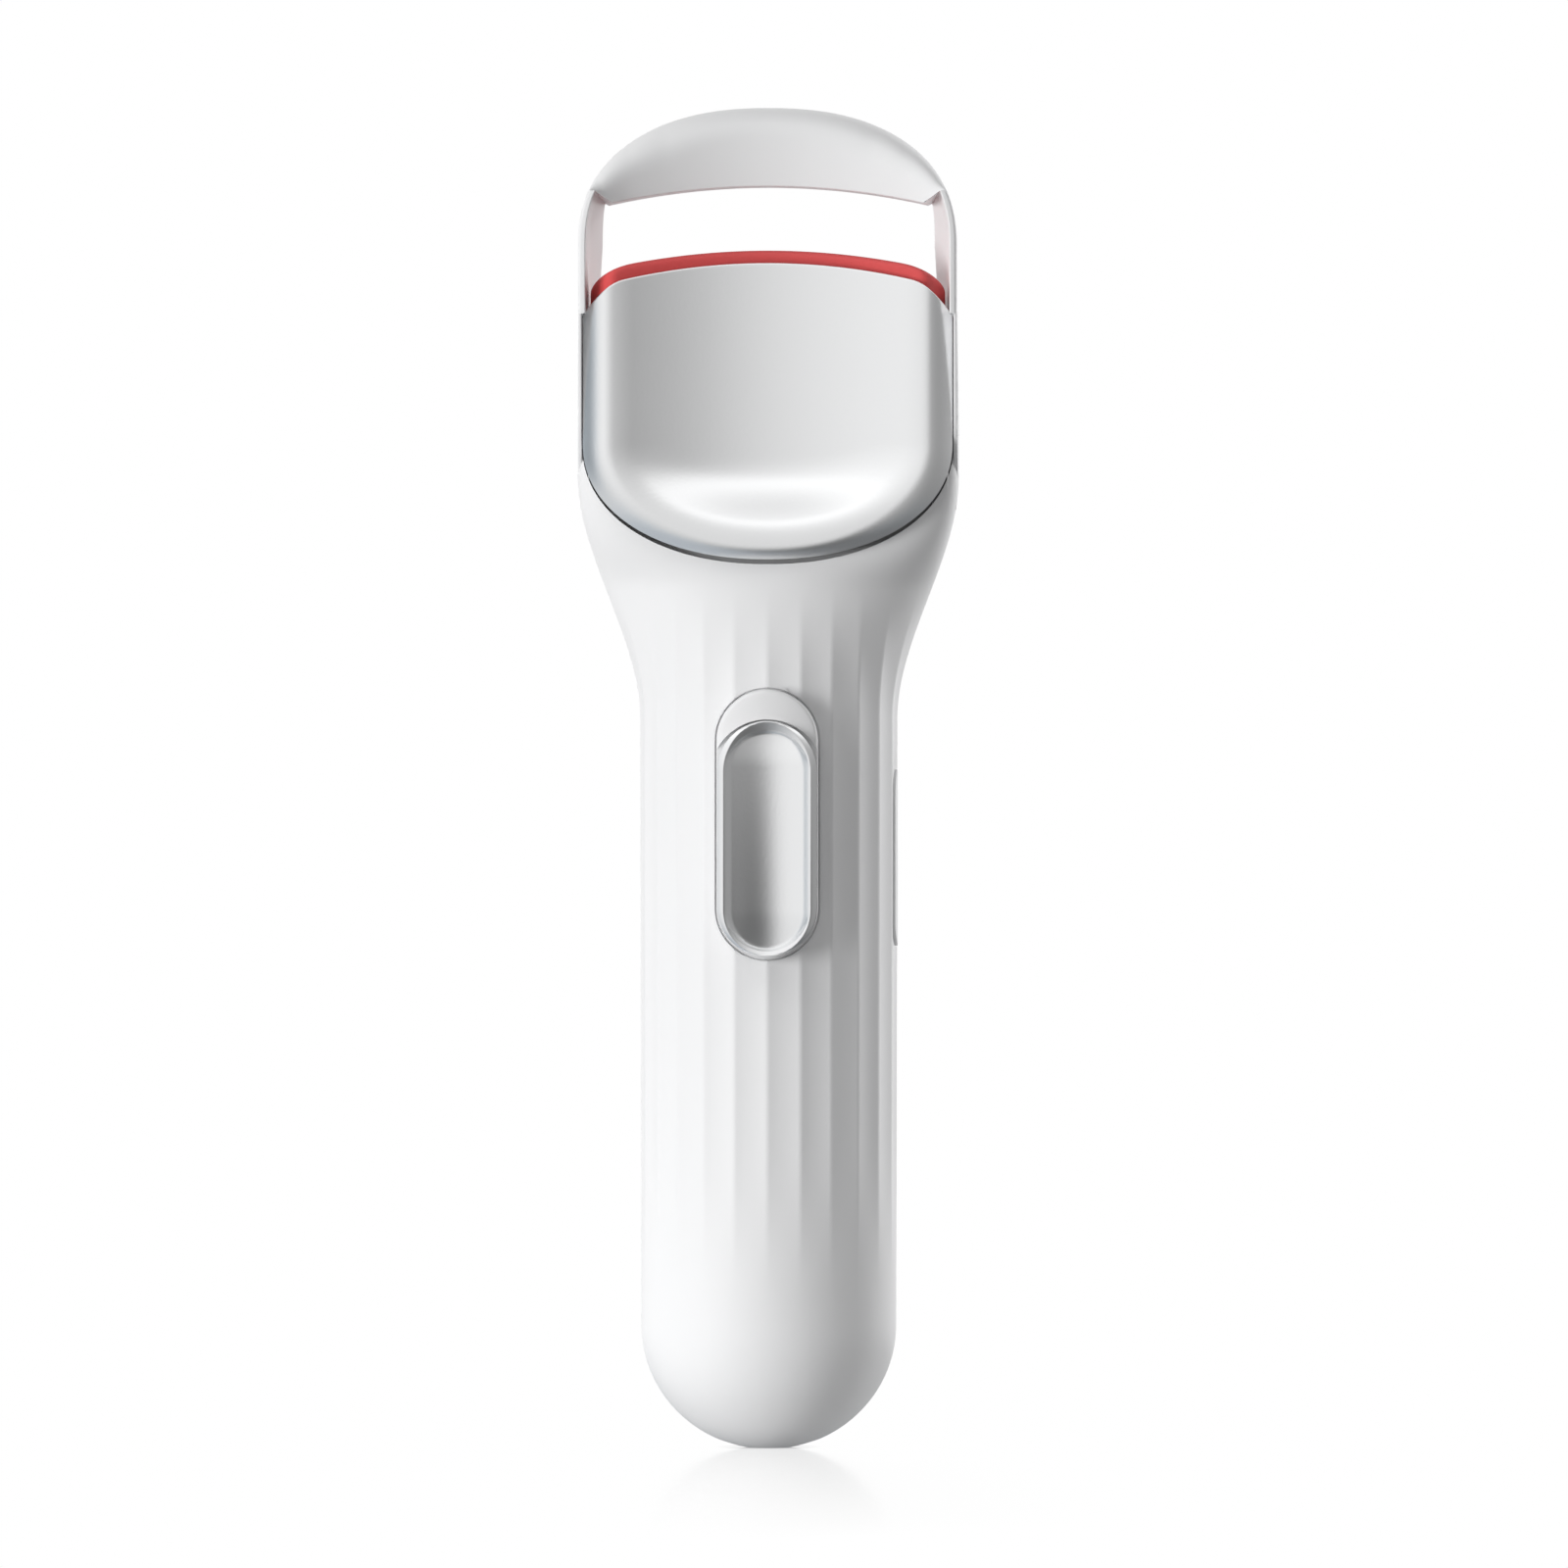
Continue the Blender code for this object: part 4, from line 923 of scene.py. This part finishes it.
def hoop_stations():
    """Right half of the hoop: outer point, inner front, inner middle, inner back and front depth."""
    spring_front = HOOP_FRONT - ARCH_HALF_WIDTH ** 2 / HOOP_FRONT_PLAN
    arm_steps = 16
    stations = []
    pocket = (POCKET_TOP - ARM_FOOT) / (SPRING_LINE - ARM_FOOT)
    shares = [pocket * i / arm_steps for i in range(arm_steps)] + [pocket - ARM_STEP]
    shares += [pocket + (1 - pocket) * i / arm_steps for i in range(arm_steps)]
    for t in shares:
        z = ARM_FOOT + (SPRING_LINE - ARM_FOOT) * t
        outer = min(body_half_width(z) - ARM_INSET, ARCH_HALF_WIDTH + ARM_FOOT_SPREAD * (1 - t))
        inner = ARCH_HALF_WIDTH - ARM_RIM_WIDTH
        draft = ARM_DRAFT
        if t < pocket:
            inner = COVER_HALF_WIDTH + POCKET_SIDE_GAP
            draft = ARM_POCKET_DRAFT
        back = ARM_FOOT_BACK_X + (ARM_BACK_X - ARM_FOOT_BACK_X) * t * t
        front = ARM_FOOT_FRONT + (ARM_SIDE_FRONT - ARM_FOOT_FRONT) * smooth(ARM_FOOT, ARM_SIDE_LOW, z)
        front += (spring_front - ARM_SIDE_FRONT) * smooth(ARM_SIDE_LOW, SPRING_LINE, z)
        stations.append(((outer, z), (inner, z), (inner - draft, z), (back, z), front))
    notch_steps = 14
    for i in range(notch_steps + 1):
        t = i / notch_steps
        outer = arch_point(NOTCH_ANGLE * t)
        inner = (outer[0] - ARM_RIM_WIDTH, outer[1])
        middle = (inner[0] - ARM_DRAFT, inner[1] - NOTCH_MIDDLE_DROP * t * t)
        back = (ARM_BACK_X - ARM_DRAFT * t * t, SPRING_LINE + (NOTCH_TOP - SPRING_LINE) * t * (1.5 - t / 2))
        front = HOOP_FRONT - outer[0] ** 2 / HOOP_FRONT_PLAN
        stations.append((outer, inner, middle, back, front))
    jaw_steps = 48
    for i in range(jaw_steps + 1):
        outer = arch_point(CORNER_ANGLE + (90.0 - CORNER_ANGLE) * i / jaw_steps)
        front_x = JAW_CORNER_X * outer[0] / arch_point(CORNER_ANGLE)[0]
        back_x = front_x * JAW_BACK_SPREAD
        inside = [(x, jaw_edge(x)) for x in (front_x, (front_x + back_x) / 2, back_x)]
        stations.append((outer, *inside, None))
    return stations


def hoop_ring(outer, inner, middle, back, front_depth):
    """Section of the hoop at one station, rounded along its edges."""
    def front_y(x):
        if front_depth is None:
            return HOOP_FRONT - x * x / HOOP_FRONT_PLAN
        return front_depth - ARM_RIM_LEAN * (outer[0] - x)

    def back_y(x):
        return HOOP_BACK - x * x / HOOP_BACK_PLAN

    height = math.dist(outer, inner)
    rim = min(HOOP_FRONT_RIM + HOOP_RIM_SPREAD * outer[0] ** 2, HOOP_RIM_SHARE * height - HOOP_RIM_EDGE)
    lean = HOOP_FACE_LEAN * smooth(*HOOP_LEAN_HEIGHTS, height)
    rear_rim = min(HOOP_BACK_RIM, HOOP_BACK_SHARE * math.dist(outer, back))
    middle_y = (front_y(inner[0]) + back_y(back[0])) / 2
    corners = [
        (outer[0], front_y(outer[0]), outer[1]),
        (inner[0], front_y(inner[0]) + lean, inner[1]),
        (middle[0], middle_y, middle[1]),
        (back[0], back_y(back[0]), back[1]),
        (outer[0], back_y(outer[0]), outer[1]),
    ]
    reaches = [(HOOP_ROLL_DEPTH * rim, rim)]
    reaches += [(reach, reach) for reach in (HOOP_EDGE_ROUND, HOOP_INSIDE_ROUND, HOOP_REAR_ROUND, rear_rim)]
    return rounded(corners, reaches, steps=9, limit=HOOP_ROUND_LIMIT)


def hoop():
    """Arms, crown and the hollow upper jaw in one moulded loop."""
    rings = [hoop_ring(*station) for station in hoop_stations()]
    rings += [[(-x, y, z) for x, y, z in ring] for ring in reversed(rings[:-1])]
    return loft("hoop", rings)


def cover_ledge():
    """Rib behind the cover's foot that closes the view through the gap into the neck."""
    steps = 64
    near, far = LEDGE_WEB
    start, end = LEDGE_ANGLES
    rings = []
    for i in range(steps + 1):
        angle = math.radians(start + (end - start) * i / steps)
        below = math.sin(angle) ** (2 / COVER_POWER)
        front = -POCKET_FLOOR - SKIRT_FOOT * below ** 2
        back = front + LEDGE_THICKNESS
        wall = min(head_front(*foot_line(angle, far)) + LEDGE_IN_WALL, front - LEDGE_WALL_LEAST)
        outsets = (far, near, near, -LEDGE_REACH, -LEDGE_REACH, far)
        depths = (wall, wall, front, front, back, back)
        ring = []
        for outset, y in zip(outsets, depths):
            x, z = foot_line(angle, outset)
            ring.append((x, y, z))
        rings.append(ring)
    return loft("ledge", rings)


def head_roof(sizes):
    """Crescent of the head's top behind the jaw's slot."""
    columns = 60
    rows = 4
    half_width = HEAD_HALF_WIDTH - ROOF_INSET

    def place(column, row):
        x = half_width * (2 * column / columns - 1)
        slot = pad_spine(x) + PAD_DEPTH + JAW_SLOT_BACK_GAP
        if abs(x) > JAW_SLOT_HALF_WIDTH:
            slot = -POCKET_FLOOR
        return x, slot + (-SEAM_HALF_GAP - slot) * row / rows, HEAD_TOP

    roof = seal(sheet("roof", columns, rows, place), close=False)
    thicken(roof, sizes.wall)
    round_edges(roof, sizes.edge)
    return roof


class CURLER_OT_front_shell(Operator):
    """Fluted front, neck, head sides and the hoop with the upper jaw"""

    bl_idname = "curler.front_shell"
    bl_label = "Front shell"

    def execute(self, context):
        sizes = context.scene.curler_sizes
        shell = join([front_skin(sizes), hoop(), head_roof(sizes), cover_ledge()])
        shell.name = "front_shell_skin"
        dress(shell, "handle", ["front_shell"], white_finish(context))
        return {"FINISHED"}


class CURLER_OT_rear_shell(Operator):
    """Fluted back of the handle and the head"""

    bl_idname = "curler.rear_shell"
    bl_label = "Rear shell"

    def execute(self, context):
        shell = rear_skin(context.scene.curler_sizes)
        shell.name = "rear_shell_skin"
        dress(shell, "handle", ["rear_shell"], white_finish(context))
        return {"FINISHED"}


class CURLER_OT_jaw_cover(Operator):
    """Scooped metal cover of the lower jaw"""

    bl_idname = "curler.jaw_cover"
    bl_label = "Jaw cover"

    def execute(self, context):
        sizes = context.scene.curler_sizes
        columns = 180
        rows = 150

        def place(column, row):
            x = COVER_HALF_WIDTH * math.sin(math.pi * (column / columns - 0.5))
            across = min(abs(x) / COVER_HALF_WIDTH, 1.0)
            low = COVER_SHOULDER - COVER_DROP * (1 - across ** COVER_POWER) ** (1 / COVER_POWER)
            z = low + (cover_top(x) - low) * (row / rows) ** COVER_ROW_POWER
            return x, cover_front(x, z), z

        cover = seal(sheet("jaw_cover_skin", columns, rows, place), close=False)
        self.skirt(cover)
        thicken(cover, sizes.sheet)
        round_edges(cover, sizes.edge)
        dress(cover, "handle", ["jaw_cover"], metal_finish(context), angle=40.0)
        return {"FINISHED"}

    def skirt(self, cover):
        """Turn the edge back at the sides and the foot."""
        bpy.ops.object.mode_set(mode="EDIT")
        bpy.ops.mesh.select_all(action="DESELECT")
        bpy.ops.mesh.select_non_manifold(extend=False)
        bpy.ops.object.mode_set(mode="OBJECT")
        for edge in cover.data.edges:
            if edge.select:
                ends = [cover.data.vertices[i].co / MM for i in edge.vertices]
                edge.select = any(end.z < cover_top(end.x) - COVER_TOP_NEAR for end in ends)
        bpy.ops.object.mode_set(mode="EDIT")
        bpy.ops.mesh.select_mode(type="EDGE")
        bpy.ops.mesh.extrude_region_move(TRANSFORM_OT_translate={"value": (0.0, COVER_SKIRT * MM, 0.0)})
        bpy.ops.mesh.select_mode(type="VERT")
        bpy.ops.object.mode_set(mode="OBJECT")


class CURLER_OT_lash_pad(Operator):
    """Red silicone band that the lashes are pressed on"""

    bl_idname = "curler.lash_pad"
    bl_label = "Lash pad"

    def execute(self, context):
        radius = context.scene.curler_sizes.pad_round / MM
        rings = []
        stations = 120
        for i in range(stations + 1):
            x = -PAD_HALF_WIDTH * math.cos(math.pi * i / stations)
            corner = max(0.0, (abs(x) - PAD_HALF_WIDTH + PAD_CORNER_WIDTH) / PAD_CORNER_WIDTH)
            end = max(0.0, abs(x) - PAD_PLAN_END)
            high = jaw_edge(x, PAD_TOP) - PAD_CORNER_DROP * (1 - math.sqrt(max(0.0, 1 - corner ** 2)))
            low = jaw_edge(x, PAD_TOP) - PAD_THICKNESS
            near = -PAD_FRONT - x * x / PAD_PLAN + PAD_END_CURVE * end * end
            far = pad_spine(x) + PAD_DEPTH
            corners = [(x, near, high), (x, far, high), (x, far, low), (x, near, low)]
            rings.append(rounded(corners, [(radius, radius)] * 4, steps=8))
        pad = loft("lash_pad_skin", rings)
        round_edges(pad, PAD_END_ROUND * MM)
        dress(pad, "jaw", ["lash_pad"], red_finish(context), angle=40.0)
        return {"FINISHED"}


class CURLER_OT_thumb_slide(Operator):
    """White slide with its silver thumb dish"""

    bl_idname = "curler.thumb_slide"
    bl_label = "Thumb slide"

    def execute(self, context):
        self.button(context)
        self.dish(context)
        return {"FINISHED"}

    def button(self, context):
        """Stadium that floats over the handle, with a seat for the dish."""
        half = BUTTON_WIDTH / 2
        columns = 160
        profile = crowned_profile(half, BUTTON_EDGE, roll_steps=6, top_steps=12)

        def place(column, row):
            inset, below = profile[row]
            x, z = stadium_point(half, BUTTON_LOW, BUTTON_HIGH, inset, column / columns)
            if below is None:
                return x, -oval_depth(x, BUTTON_FLOAT), z
            return x, below - oval_depth(x, BUTTON_RISE), z

        button = seal(sheet("slide_button_skin", columns, len(profile) - 1, place))
        cut(button, seat_tool())
        dress(button, "jaw", ["slide_button"], white_finish(context))

    def dish(self, context):
        """Long dish in a rim that falls outwards at the sides and inwards at the ends."""
        half = DISH_WIDTH / 2
        depth = context.scene.curler_sizes.dish_depth / MM
        columns = 240
        rim_rows = 14
        floor_rows = 30

        def rim(turn):
            """Rim's width, and the inset of its ridge, where the outline faces a turn from +X."""
            end = math.sin(turn)
            width = DISH_RIM + (DISH_RIM_TOP if end > 0 else DISH_RIM_FOOT) * end
            return width, DISH_RIDGE + (width - 2 * DISH_RIDGE) * math.cos(turn) ** 2

        def place(column, row):
            share = (column / columns) % 1.0
            turn = stadium_turn(share)
            width, ridge = rim(turn)
            if row < 2:
                x, z = stadium_point(half, DISH_LOW, DISH_HIGH, half * (1 - row), share)
                return x, -DISH_SEAT, z
            part = (row - 2) / rim_rows
            inset = width * part
            if part > 1:
                inset = width + (half - width) * (row - 2 - rim_rows) / floor_rows
            x, z = stadium_point(half, DISH_LOW, DISH_HIGH, inset, share)
            if inset < ridge:
                below = DISH_RIM_FALL * (1 - inset / ridge) ** DISH_RIM_ROLL
            else:
                below = DISH_RIM_FALL * min((inset - ridge) / (DISH_RIM + DISH_RIM_TOP - DISH_RIDGE), 1.0)
            if part > 1:
                end = min(DISH_HIGH - z, z - DISH_LOW) - DISH_RIM
                trough = (depth - DISH_STEP) * max(0.0, 1 - (x / (half - DISH_RIM)) ** 2) ** DISH_SHAPE
                trough += DISH_END_DEPTH * (1 - smooth(0.0, DISH_END_LENGTH, end))
                wall = 1 - math.sin(turn) ** 2 * (1 - smooth(width, width + DISH_WALL, inset))
                below = max(below, DISH_STEP) + trough * wall
            return x, below - DISH_CREST, z

        dish = seal(sheet("thumb_dish_skin", columns, 2 + rim_rows + floor_rows, place))
        dress(dish, "jaw", ["thumb_dish"], metal_finish(context), angle=40.0)


class CURLER_OT_side_key(Operator):
    """Long oval key in the right side"""

    bl_idname = "curler.side_key"
    bl_label = "Side key"

    def execute(self, context):
        half = KEY_WIDTH / 2
        columns = 160
        profile = crowned_profile(half, KEY_EDGE, roll_steps=8, top_steps=8)

        def place(column, row):
            inset, below = profile[row]
            y, z = stadium_point(half, KEY_LOW, KEY_HIGH, inset, column / columns)
            if below is None:
                return KEY_BACK, y, z
            across = (HANDLE_HALF_WIDTH + KEY_RISE) * math.sqrt(1 - (y / (HANDLE_HALF_DEPTH + KEY_RISE)) ** 2)
            return across - below, y, z

        key = seal(sheet("side_key_skin", columns, len(profile) - 1, place))
        dress(key, "key", ["side_key"], white_finish(context))
        return {"FINISHED"}


class CURLER_OT_inner_parts(Operator):
    """Finishes of the parts inside, which keep their CAD shapes"""

    bl_idname = "curler.inner_parts"
    bl_label = "Inner parts"

    def execute(self, context):
        colours = context.scene.curler_colours
        nylon = grained("grey_nylon_finish", tuple(colours.nylon), roughness=0.6, bump=0.15, tone=0.05)
        film = grained("amber_film_finish", tuple(colours.film), roughness=0.35, bump=0.03, tone=0.08)
        board = grained("board_finish", tuple(colours.board), roughness=0.45, bump=0.05, tone=0.1)
        cell = grained("cell_finish", tuple(colours.cell), roughness=0.4, bump=0.03, tone=0.05)
        dark = grained("dark_finish", tuple(colours.dark), roughness=0.35, bump=0.05, tone=0.1)
        steel = grained("steel_finish", tuple(colours.steel), roughness=0.35, metallic=1.0, tone=0.04)
        aluminium = grained("aluminium_finish", tuple(colours.aluminium), roughness=0.4, metallic=1.0,
                            bump=0.06)
        finishes = {
            "jaw_carrier": nylon, "sled_bar": nylon, "heater_film": film, "heater_ribbon": film,
            "circuit_board": board, "charge_board": board, "battery": cell, "key_switch": dark,
            "thermistor": dark, "heater_bar": aluminium, "return_spring": steel, "usb_socket": steel,
            "sled_screw_lower": steel, "sled_screw_upper": steel, "button_screw_lower": steel,
            "button_screw_upper": steel, "board_screw_lower": steel, "board_screw_upper": steel,
        }
        for name, finish in finishes.items():
            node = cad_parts[name]
            node.data.materials.clear()
            node.data.materials.append(finish)
        return {"FINISHED"}


# Stage

class CURLER_OT_stage(Operator):
    """White floor and surroundings, lights and the photo's camera"""

    bl_idname = "curler.stage"
    bl_label = "Stage"

    def execute(self, context):
        settings = context.scene.curler_stage
        self.camera(context, settings)
        self.floor()
        self.surroundings(context, settings)
        self.lamp("key_light", azimuth=-47.0, elevation=2.0, size=0.36, power=settings.key_power)
        self.lamp("top_light", azimuth=-40.0, elevation=55.0, size=0.4, power=settings.top_power)
        self.lamp("rim_light", azimuth=124.0, elevation=10.0, size=0.5, power=settings.rim_power)
        self.flag()
        self.card()
        context.scene.view_settings.view_transform = "Standard"
        return {"FINISHED"}

    def camera(self, context, settings):
        """Camera at the photo's viewing angle, level with the curler's middle."""
        turn = settings.turn
        distance = settings.distance
        x = CAMERA_ASIDE + distance * math.sin(turn)
        y = AXIS_Y * MM - distance * math.cos(turn)
        place = (x, y, CAMERA_HEIGHT)
        bpy.ops.object.camera_add(location=place, rotation=(math.pi / 2, 0.0, turn))
        camera = context.object
        camera.name = "photo_camera"
        camera.data.sensor_width = SENSOR_WIDTH
        camera.data.lens = SENSOR_WIDTH * distance / settings.view_width
        camera.data.clip_end = 20.0
        context.scene.camera = camera

    def lamp(self, name, azimuth, elevation, size, power):
        """Square soft light that faces the curler's middle."""
        turn = math.radians(azimuth)
        tilt = math.radians(elevation)
        out = LAMP_DISTANCE * math.cos(tilt)
        z = HEIGHT / 2 * MM + LAMP_DISTANCE * math.sin(tilt)
        place = (out * math.sin(turn), -out * math.cos(turn), z)
        bpy.ops.object.light_add(type="AREA", location=place, rotation=(math.pi / 2 - tilt, 0.0, turn))
        lamp = bpy.context.object
        lamp.name = name
        lamp.data.size = size
        lamp.data.energy = power
        lamp.visible_glossy = False

    def upright(self, name, place, turn, size, finish):
        """Upright plane of a size, turned from the front by an angle in degrees."""
        rotation = (math.pi / 2, 0.0, math.radians(turn))
        bpy.ops.mesh.primitive_plane_add(size=1.0, location=place, rotation=rotation)
        plane = bpy.context.object
        plane.name = name
        plane.scale = (*size, 1.0)
        plane.data.materials.append(finish)
        plane.visible_camera = False
        plane.visible_diffuse = False
        return plane

    def flag(self):
        """Black flag behind the window that keeps the rim light off the left arm's inner face."""
        finish = new_finish("flag_black")
        tree = finish.node_tree
        fill(tree, tree.nodes["Principled BSDF"], {"Base Color": opaque(BLACK)})
        flag = self.upright("rim_flag", (0.032, 0.045, 0.122), -45.0, (0.04, 0.022), finish)
        flag.visible_glossy = False
        flag.visible_transmission = False

    def card(self):
        """Dark card low in front with a soft edge, which only the metal mirrors."""
        finish = new_finish("card_dark")
        tree = finish.node_tree
        place = tree.nodes.new("ShaderNodeTexCoord").outputs["Object"]
        fill(tree, tree.nodes["Principled BSDF"], {
            "Base Color": opaque(BLACK),
            "Emission Color": opaque(WHITE),
            "Emission Strength": 0.1,
            "Alpha": ramp(tree, distance_from_origin(tree, place), (0.5, 0.1)),
        })
        card = self.upright("dark_card", (0.013, -0.05, 0.04), 10.0, (0.07, 0.085), finish)
        card.visible_shadow = False

    def floor(self):
        """Floor that looks white to the camera and lights the curler from below with a painted glow."""
        bpy.ops.object.select_all(action="DESELECT")
        bpy.ops.mesh.primitive_circle_add(vertices=96, radius=FLOOR_RADIUS, fill_type="NGON",
                                          location=(0.0, 0.0, 0.0))
        floor = bpy.context.object
        floor.name = "floor"
        finish = new_finish("floor_white")
        tree = finish.node_tree
        path = tree.nodes.new("ShaderNodeLightPath").outputs
        place = tree.nodes.new("ShaderNodeTexCoord").outputs["Object"]
        lit = self.lit_floor(tree, path, place)
        shown = self.shown_floor(tree, place)
        seen = calculate(tree, "MAXIMUM", path["Is Camera Ray"], path["Is Transmission Ray"])
        fill(tree, tree.nodes["Material Output"], {"Surface": blend_shaders(tree, seen, lit, shown)})
        floor.data.materials.append(finish)

    def lit_floor(self, tree, path, place):
        """Floor as the curler meets it: painted light on the left and painted shade on the right in its
        colour and glow, a painted reflection for the metal, gone further out.
        """
        axes = add_node(tree, "ShaderNodeSeparateXYZ", {"Vector": place}).outputs
        # Painted shade: the floor's colour and glow fall from the lit left to the shaded right
        painted_shade_share = ramp(tree, axes["X"], FLOOR_PAINTED_SHADE_SPAN)
        tone = blend_colours(tree, painted_shade_share, FLOOR_PAINTED_LIGHT_LEFT, FLOOR_PAINTED_SHADE_RIGHT)
        dull = tree.nodes["Principled BSDF"]
        fill(tree, dull, {"Base Color": tone, "Emission Color": tone})
        fill(tree, dull, {"Roughness": 0.6, "Emission Strength": FLOOR_GLOW})
        # Painted reflection: the metal sees the floor as a plain glow, lighter on the left and darker on the
        # right
        shade = blend_colours(tree, painted_shade_share, FLOOR_PAINTED_REFLECTION_LEFT, FLOOR_PAINTED_REFLECTION_RIGHT)
        mirrored = add_node(tree, "ShaderNodeEmission", {"Color": shade})
        near = blend_shaders(tree, path["Is Glossy Ray"], dull.outputs["BSDF"], mirrored.outputs["Emission"])
        clear = tree.nodes.new("ShaderNodeBsdfTransparent")
        beyond = ramp(tree, distance_from_origin(tree, place), FLOOR_FADE)
        return blend_shaders(tree, beyond, near, clear.outputs["BSDF"])

    def shown_floor(self, tree, place):
        """Floor as the camera sees it: white, with a painted contact shade and a mirror image that fades
        forwards.
        """
        # Painted contact shadow: ambient occlusion darkens the floor's white glow close to the curler
        contact = add_node(tree, "ShaderNodeAmbientOcclusion", {"Distance": CONTACT_DISTANCE})
        tint = ramp(tree, contact.outputs["AO"], (0.0, 1.0), (CONTACT_SHADE, 1.0), "LINEAR")
        glow = add_node(tree, "ShaderNodeEmission", {"Color": tint})
        mirror = add_node(tree, "ShaderNodeBsdfGlossy", {"Color": opaque(WHITE), "Roughness": 0.06})
        narrowing = {0: place, 1: (MIRROR_NARROWING, 1.0, 1.0)}
        narrowed = add_node(tree, "ShaderNodeVectorMath", narrowing, operation="MULTIPLY")
        reach = distance_from_origin(tree, narrowed.outputs["Vector"])
        fade = ramp(tree, reach, (0.0, MIRROR_REACH), (MIRROR_SHARE, 0.0), "LINEAR")
        return blend_shaders(tree, fade, glow.outputs["Emission"], mirror.outputs["BSDF"])

    def surroundings(self, context, settings):
        """White to the camera; to all else a white backdrop, a bright left and top and a dim lower right."""
        world = bpy.data.worlds.new("studio")
        world.use_nodes = True
        context.scene.world = world
        tree = world.node_tree
        path = tree.nodes.new("ShaderNodeLightPath").outputs
        ways = tree.nodes.new("ShaderNodeTexCoord").outputs["Generated"]
        axes = add_node(tree, "ShaderNodeSeparateXYZ", {"Vector": ways}).outputs
        mirrored = self.curve(tree, axes["Z"], MIRRORED_UP)
        dull = self.curve(tree, axes["Z"], DULL_UP)
        upwards = blend(tree, path["Is Glossy Ray"], dull, mirrored)
        overhead = ramp(tree, axes["Z"], (0.3, 0.85))
        sideways = blend(tree, overhead, self.curve(tree, axes["X"], SIDEWAYS), 1.0)
        front = calculate(tree, "MULTIPLY", upwards, sideways)
        behind = ramp(tree, axes["Y"], (0.0, 0.5))
        above = ramp(tree, axes["Z"], (-0.35, 0.0))
        around = blend(tree, calculate(tree, "MULTIPLY", behind, above), front, 1.0)
        share = ramp(tree, path["Is Glossy Ray"], (0.0, 1.0), (settings.ambient, 1.0), "LINEAR")
        scaled = calculate(tree, "MULTIPLY", around, share)
        seen = calculate(tree, "MAXIMUM", path["Is Camera Ray"], path["Is Transmission Ray"])
        fill(tree, tree.nodes["Background"], {
            "Strength": blend(tree, seen, scaled, 1.0),
            "Color": self.cool_tint(tree, axes, path),
        })

    def cool_tint(self, tree, axes, path):
        """Bluish tint of the far left and of the room below, as only the metal mirrors them."""
        left = ramp(tree, axes["X"], (-0.84, -0.98), style="LINEAR")
        below = ramp(tree, axes["Z"], (-0.5, -0.9), style="LINEAR")
        either = calculate(tree, "MAXIMUM", left, below)
        mirrored = calculate(tree, "MULTIPLY", either, path["Is Glossy Ray"])
        return blend_colours(tree, mirrored, WHITE, COOL_WHITE)

    def curve(self, tree, source, stops):
        """Value that follows stops of (direction, strength) from -1 to 1."""
        spread = ramp(tree, source, (-1.0, 1.0), style="LINEAR")
        curve = add_node(tree, "ShaderNodeFloatCurve", {"Value": spread})
        points = curve.mapping.curves[0].points
        while len(points) < len(stops):
            points.new(0.5, 0.5)
        for point, (place, strength) in zip(points, stops):
            point.location = ((place + 1) / 2, strength / CURVE_TOP)
        curve.mapping.update()
        return calculate(tree, "MULTIPLY", curve.outputs["Value"], CURVE_TOP)


class CURLER_PT_panel(Panel):
    """Sizes, colours, light and the building steps"""

    bl_idname = "CURLER_PT_panel"
    bl_label = "Eyelash curler"
    bl_space_type = "VIEW_3D"
    bl_region_type = "UI"
    bl_category = "Curler"

    def draw(self, context):
        layout = self.layout
        for group in (context.scene.curler_sizes, context.scene.curler_colours, context.scene.curler_stage):
            box = layout.box()
            for name in group.__annotations__:
                box.prop(group, name)
        for operator in STEPS:
            layout.operator(operator.bl_idname)


STEPS = (CURLER_OT_front_shell, CURLER_OT_rear_shell, CURLER_OT_jaw_cover, CURLER_OT_lash_pad,
         CURLER_OT_thumb_slide, CURLER_OT_side_key, CURLER_OT_inner_parts, CURLER_OT_stage)
CLASSES = (CurlerSizes, CurlerColours, CurlerStage) + STEPS + (CURLER_PT_panel,)


def register():
    """Make the settings, steps and panel known to Blender."""
    for each in CLASSES:
        bpy.utils.register_class(each)
    bpy.types.Scene.curler_sizes = PointerProperty(type=CurlerSizes)
    bpy.types.Scene.curler_colours = PointerProperty(type=CurlerColours)
    bpy.types.Scene.curler_stage = PointerProperty(type=CurlerStage)


def unregister():
    """Take the settings, steps and panel out of Blender."""
    del bpy.types.Scene.curler_stage
    del bpy.types.Scene.curler_colours
    del bpy.types.Scene.curler_sizes
    for each in reversed(CLASSES):
        bpy.utils.unregister_class(each)


def main():
    """Make the steps known to Blender, then build the curler and its stage."""
    register()
    bpy.ops.curler.front_shell()
    bpy.ops.curler.rear_shell()
    bpy.ops.curler.jaw_cover()
    bpy.ops.curler.lash_pad()
    bpy.ops.curler.thumb_slide()
    bpy.ops.curler.side_key()
    bpy.ops.curler.inner_parts()
    bpy.ops.curler.stage()


if __name__ == "__main__":
    main()
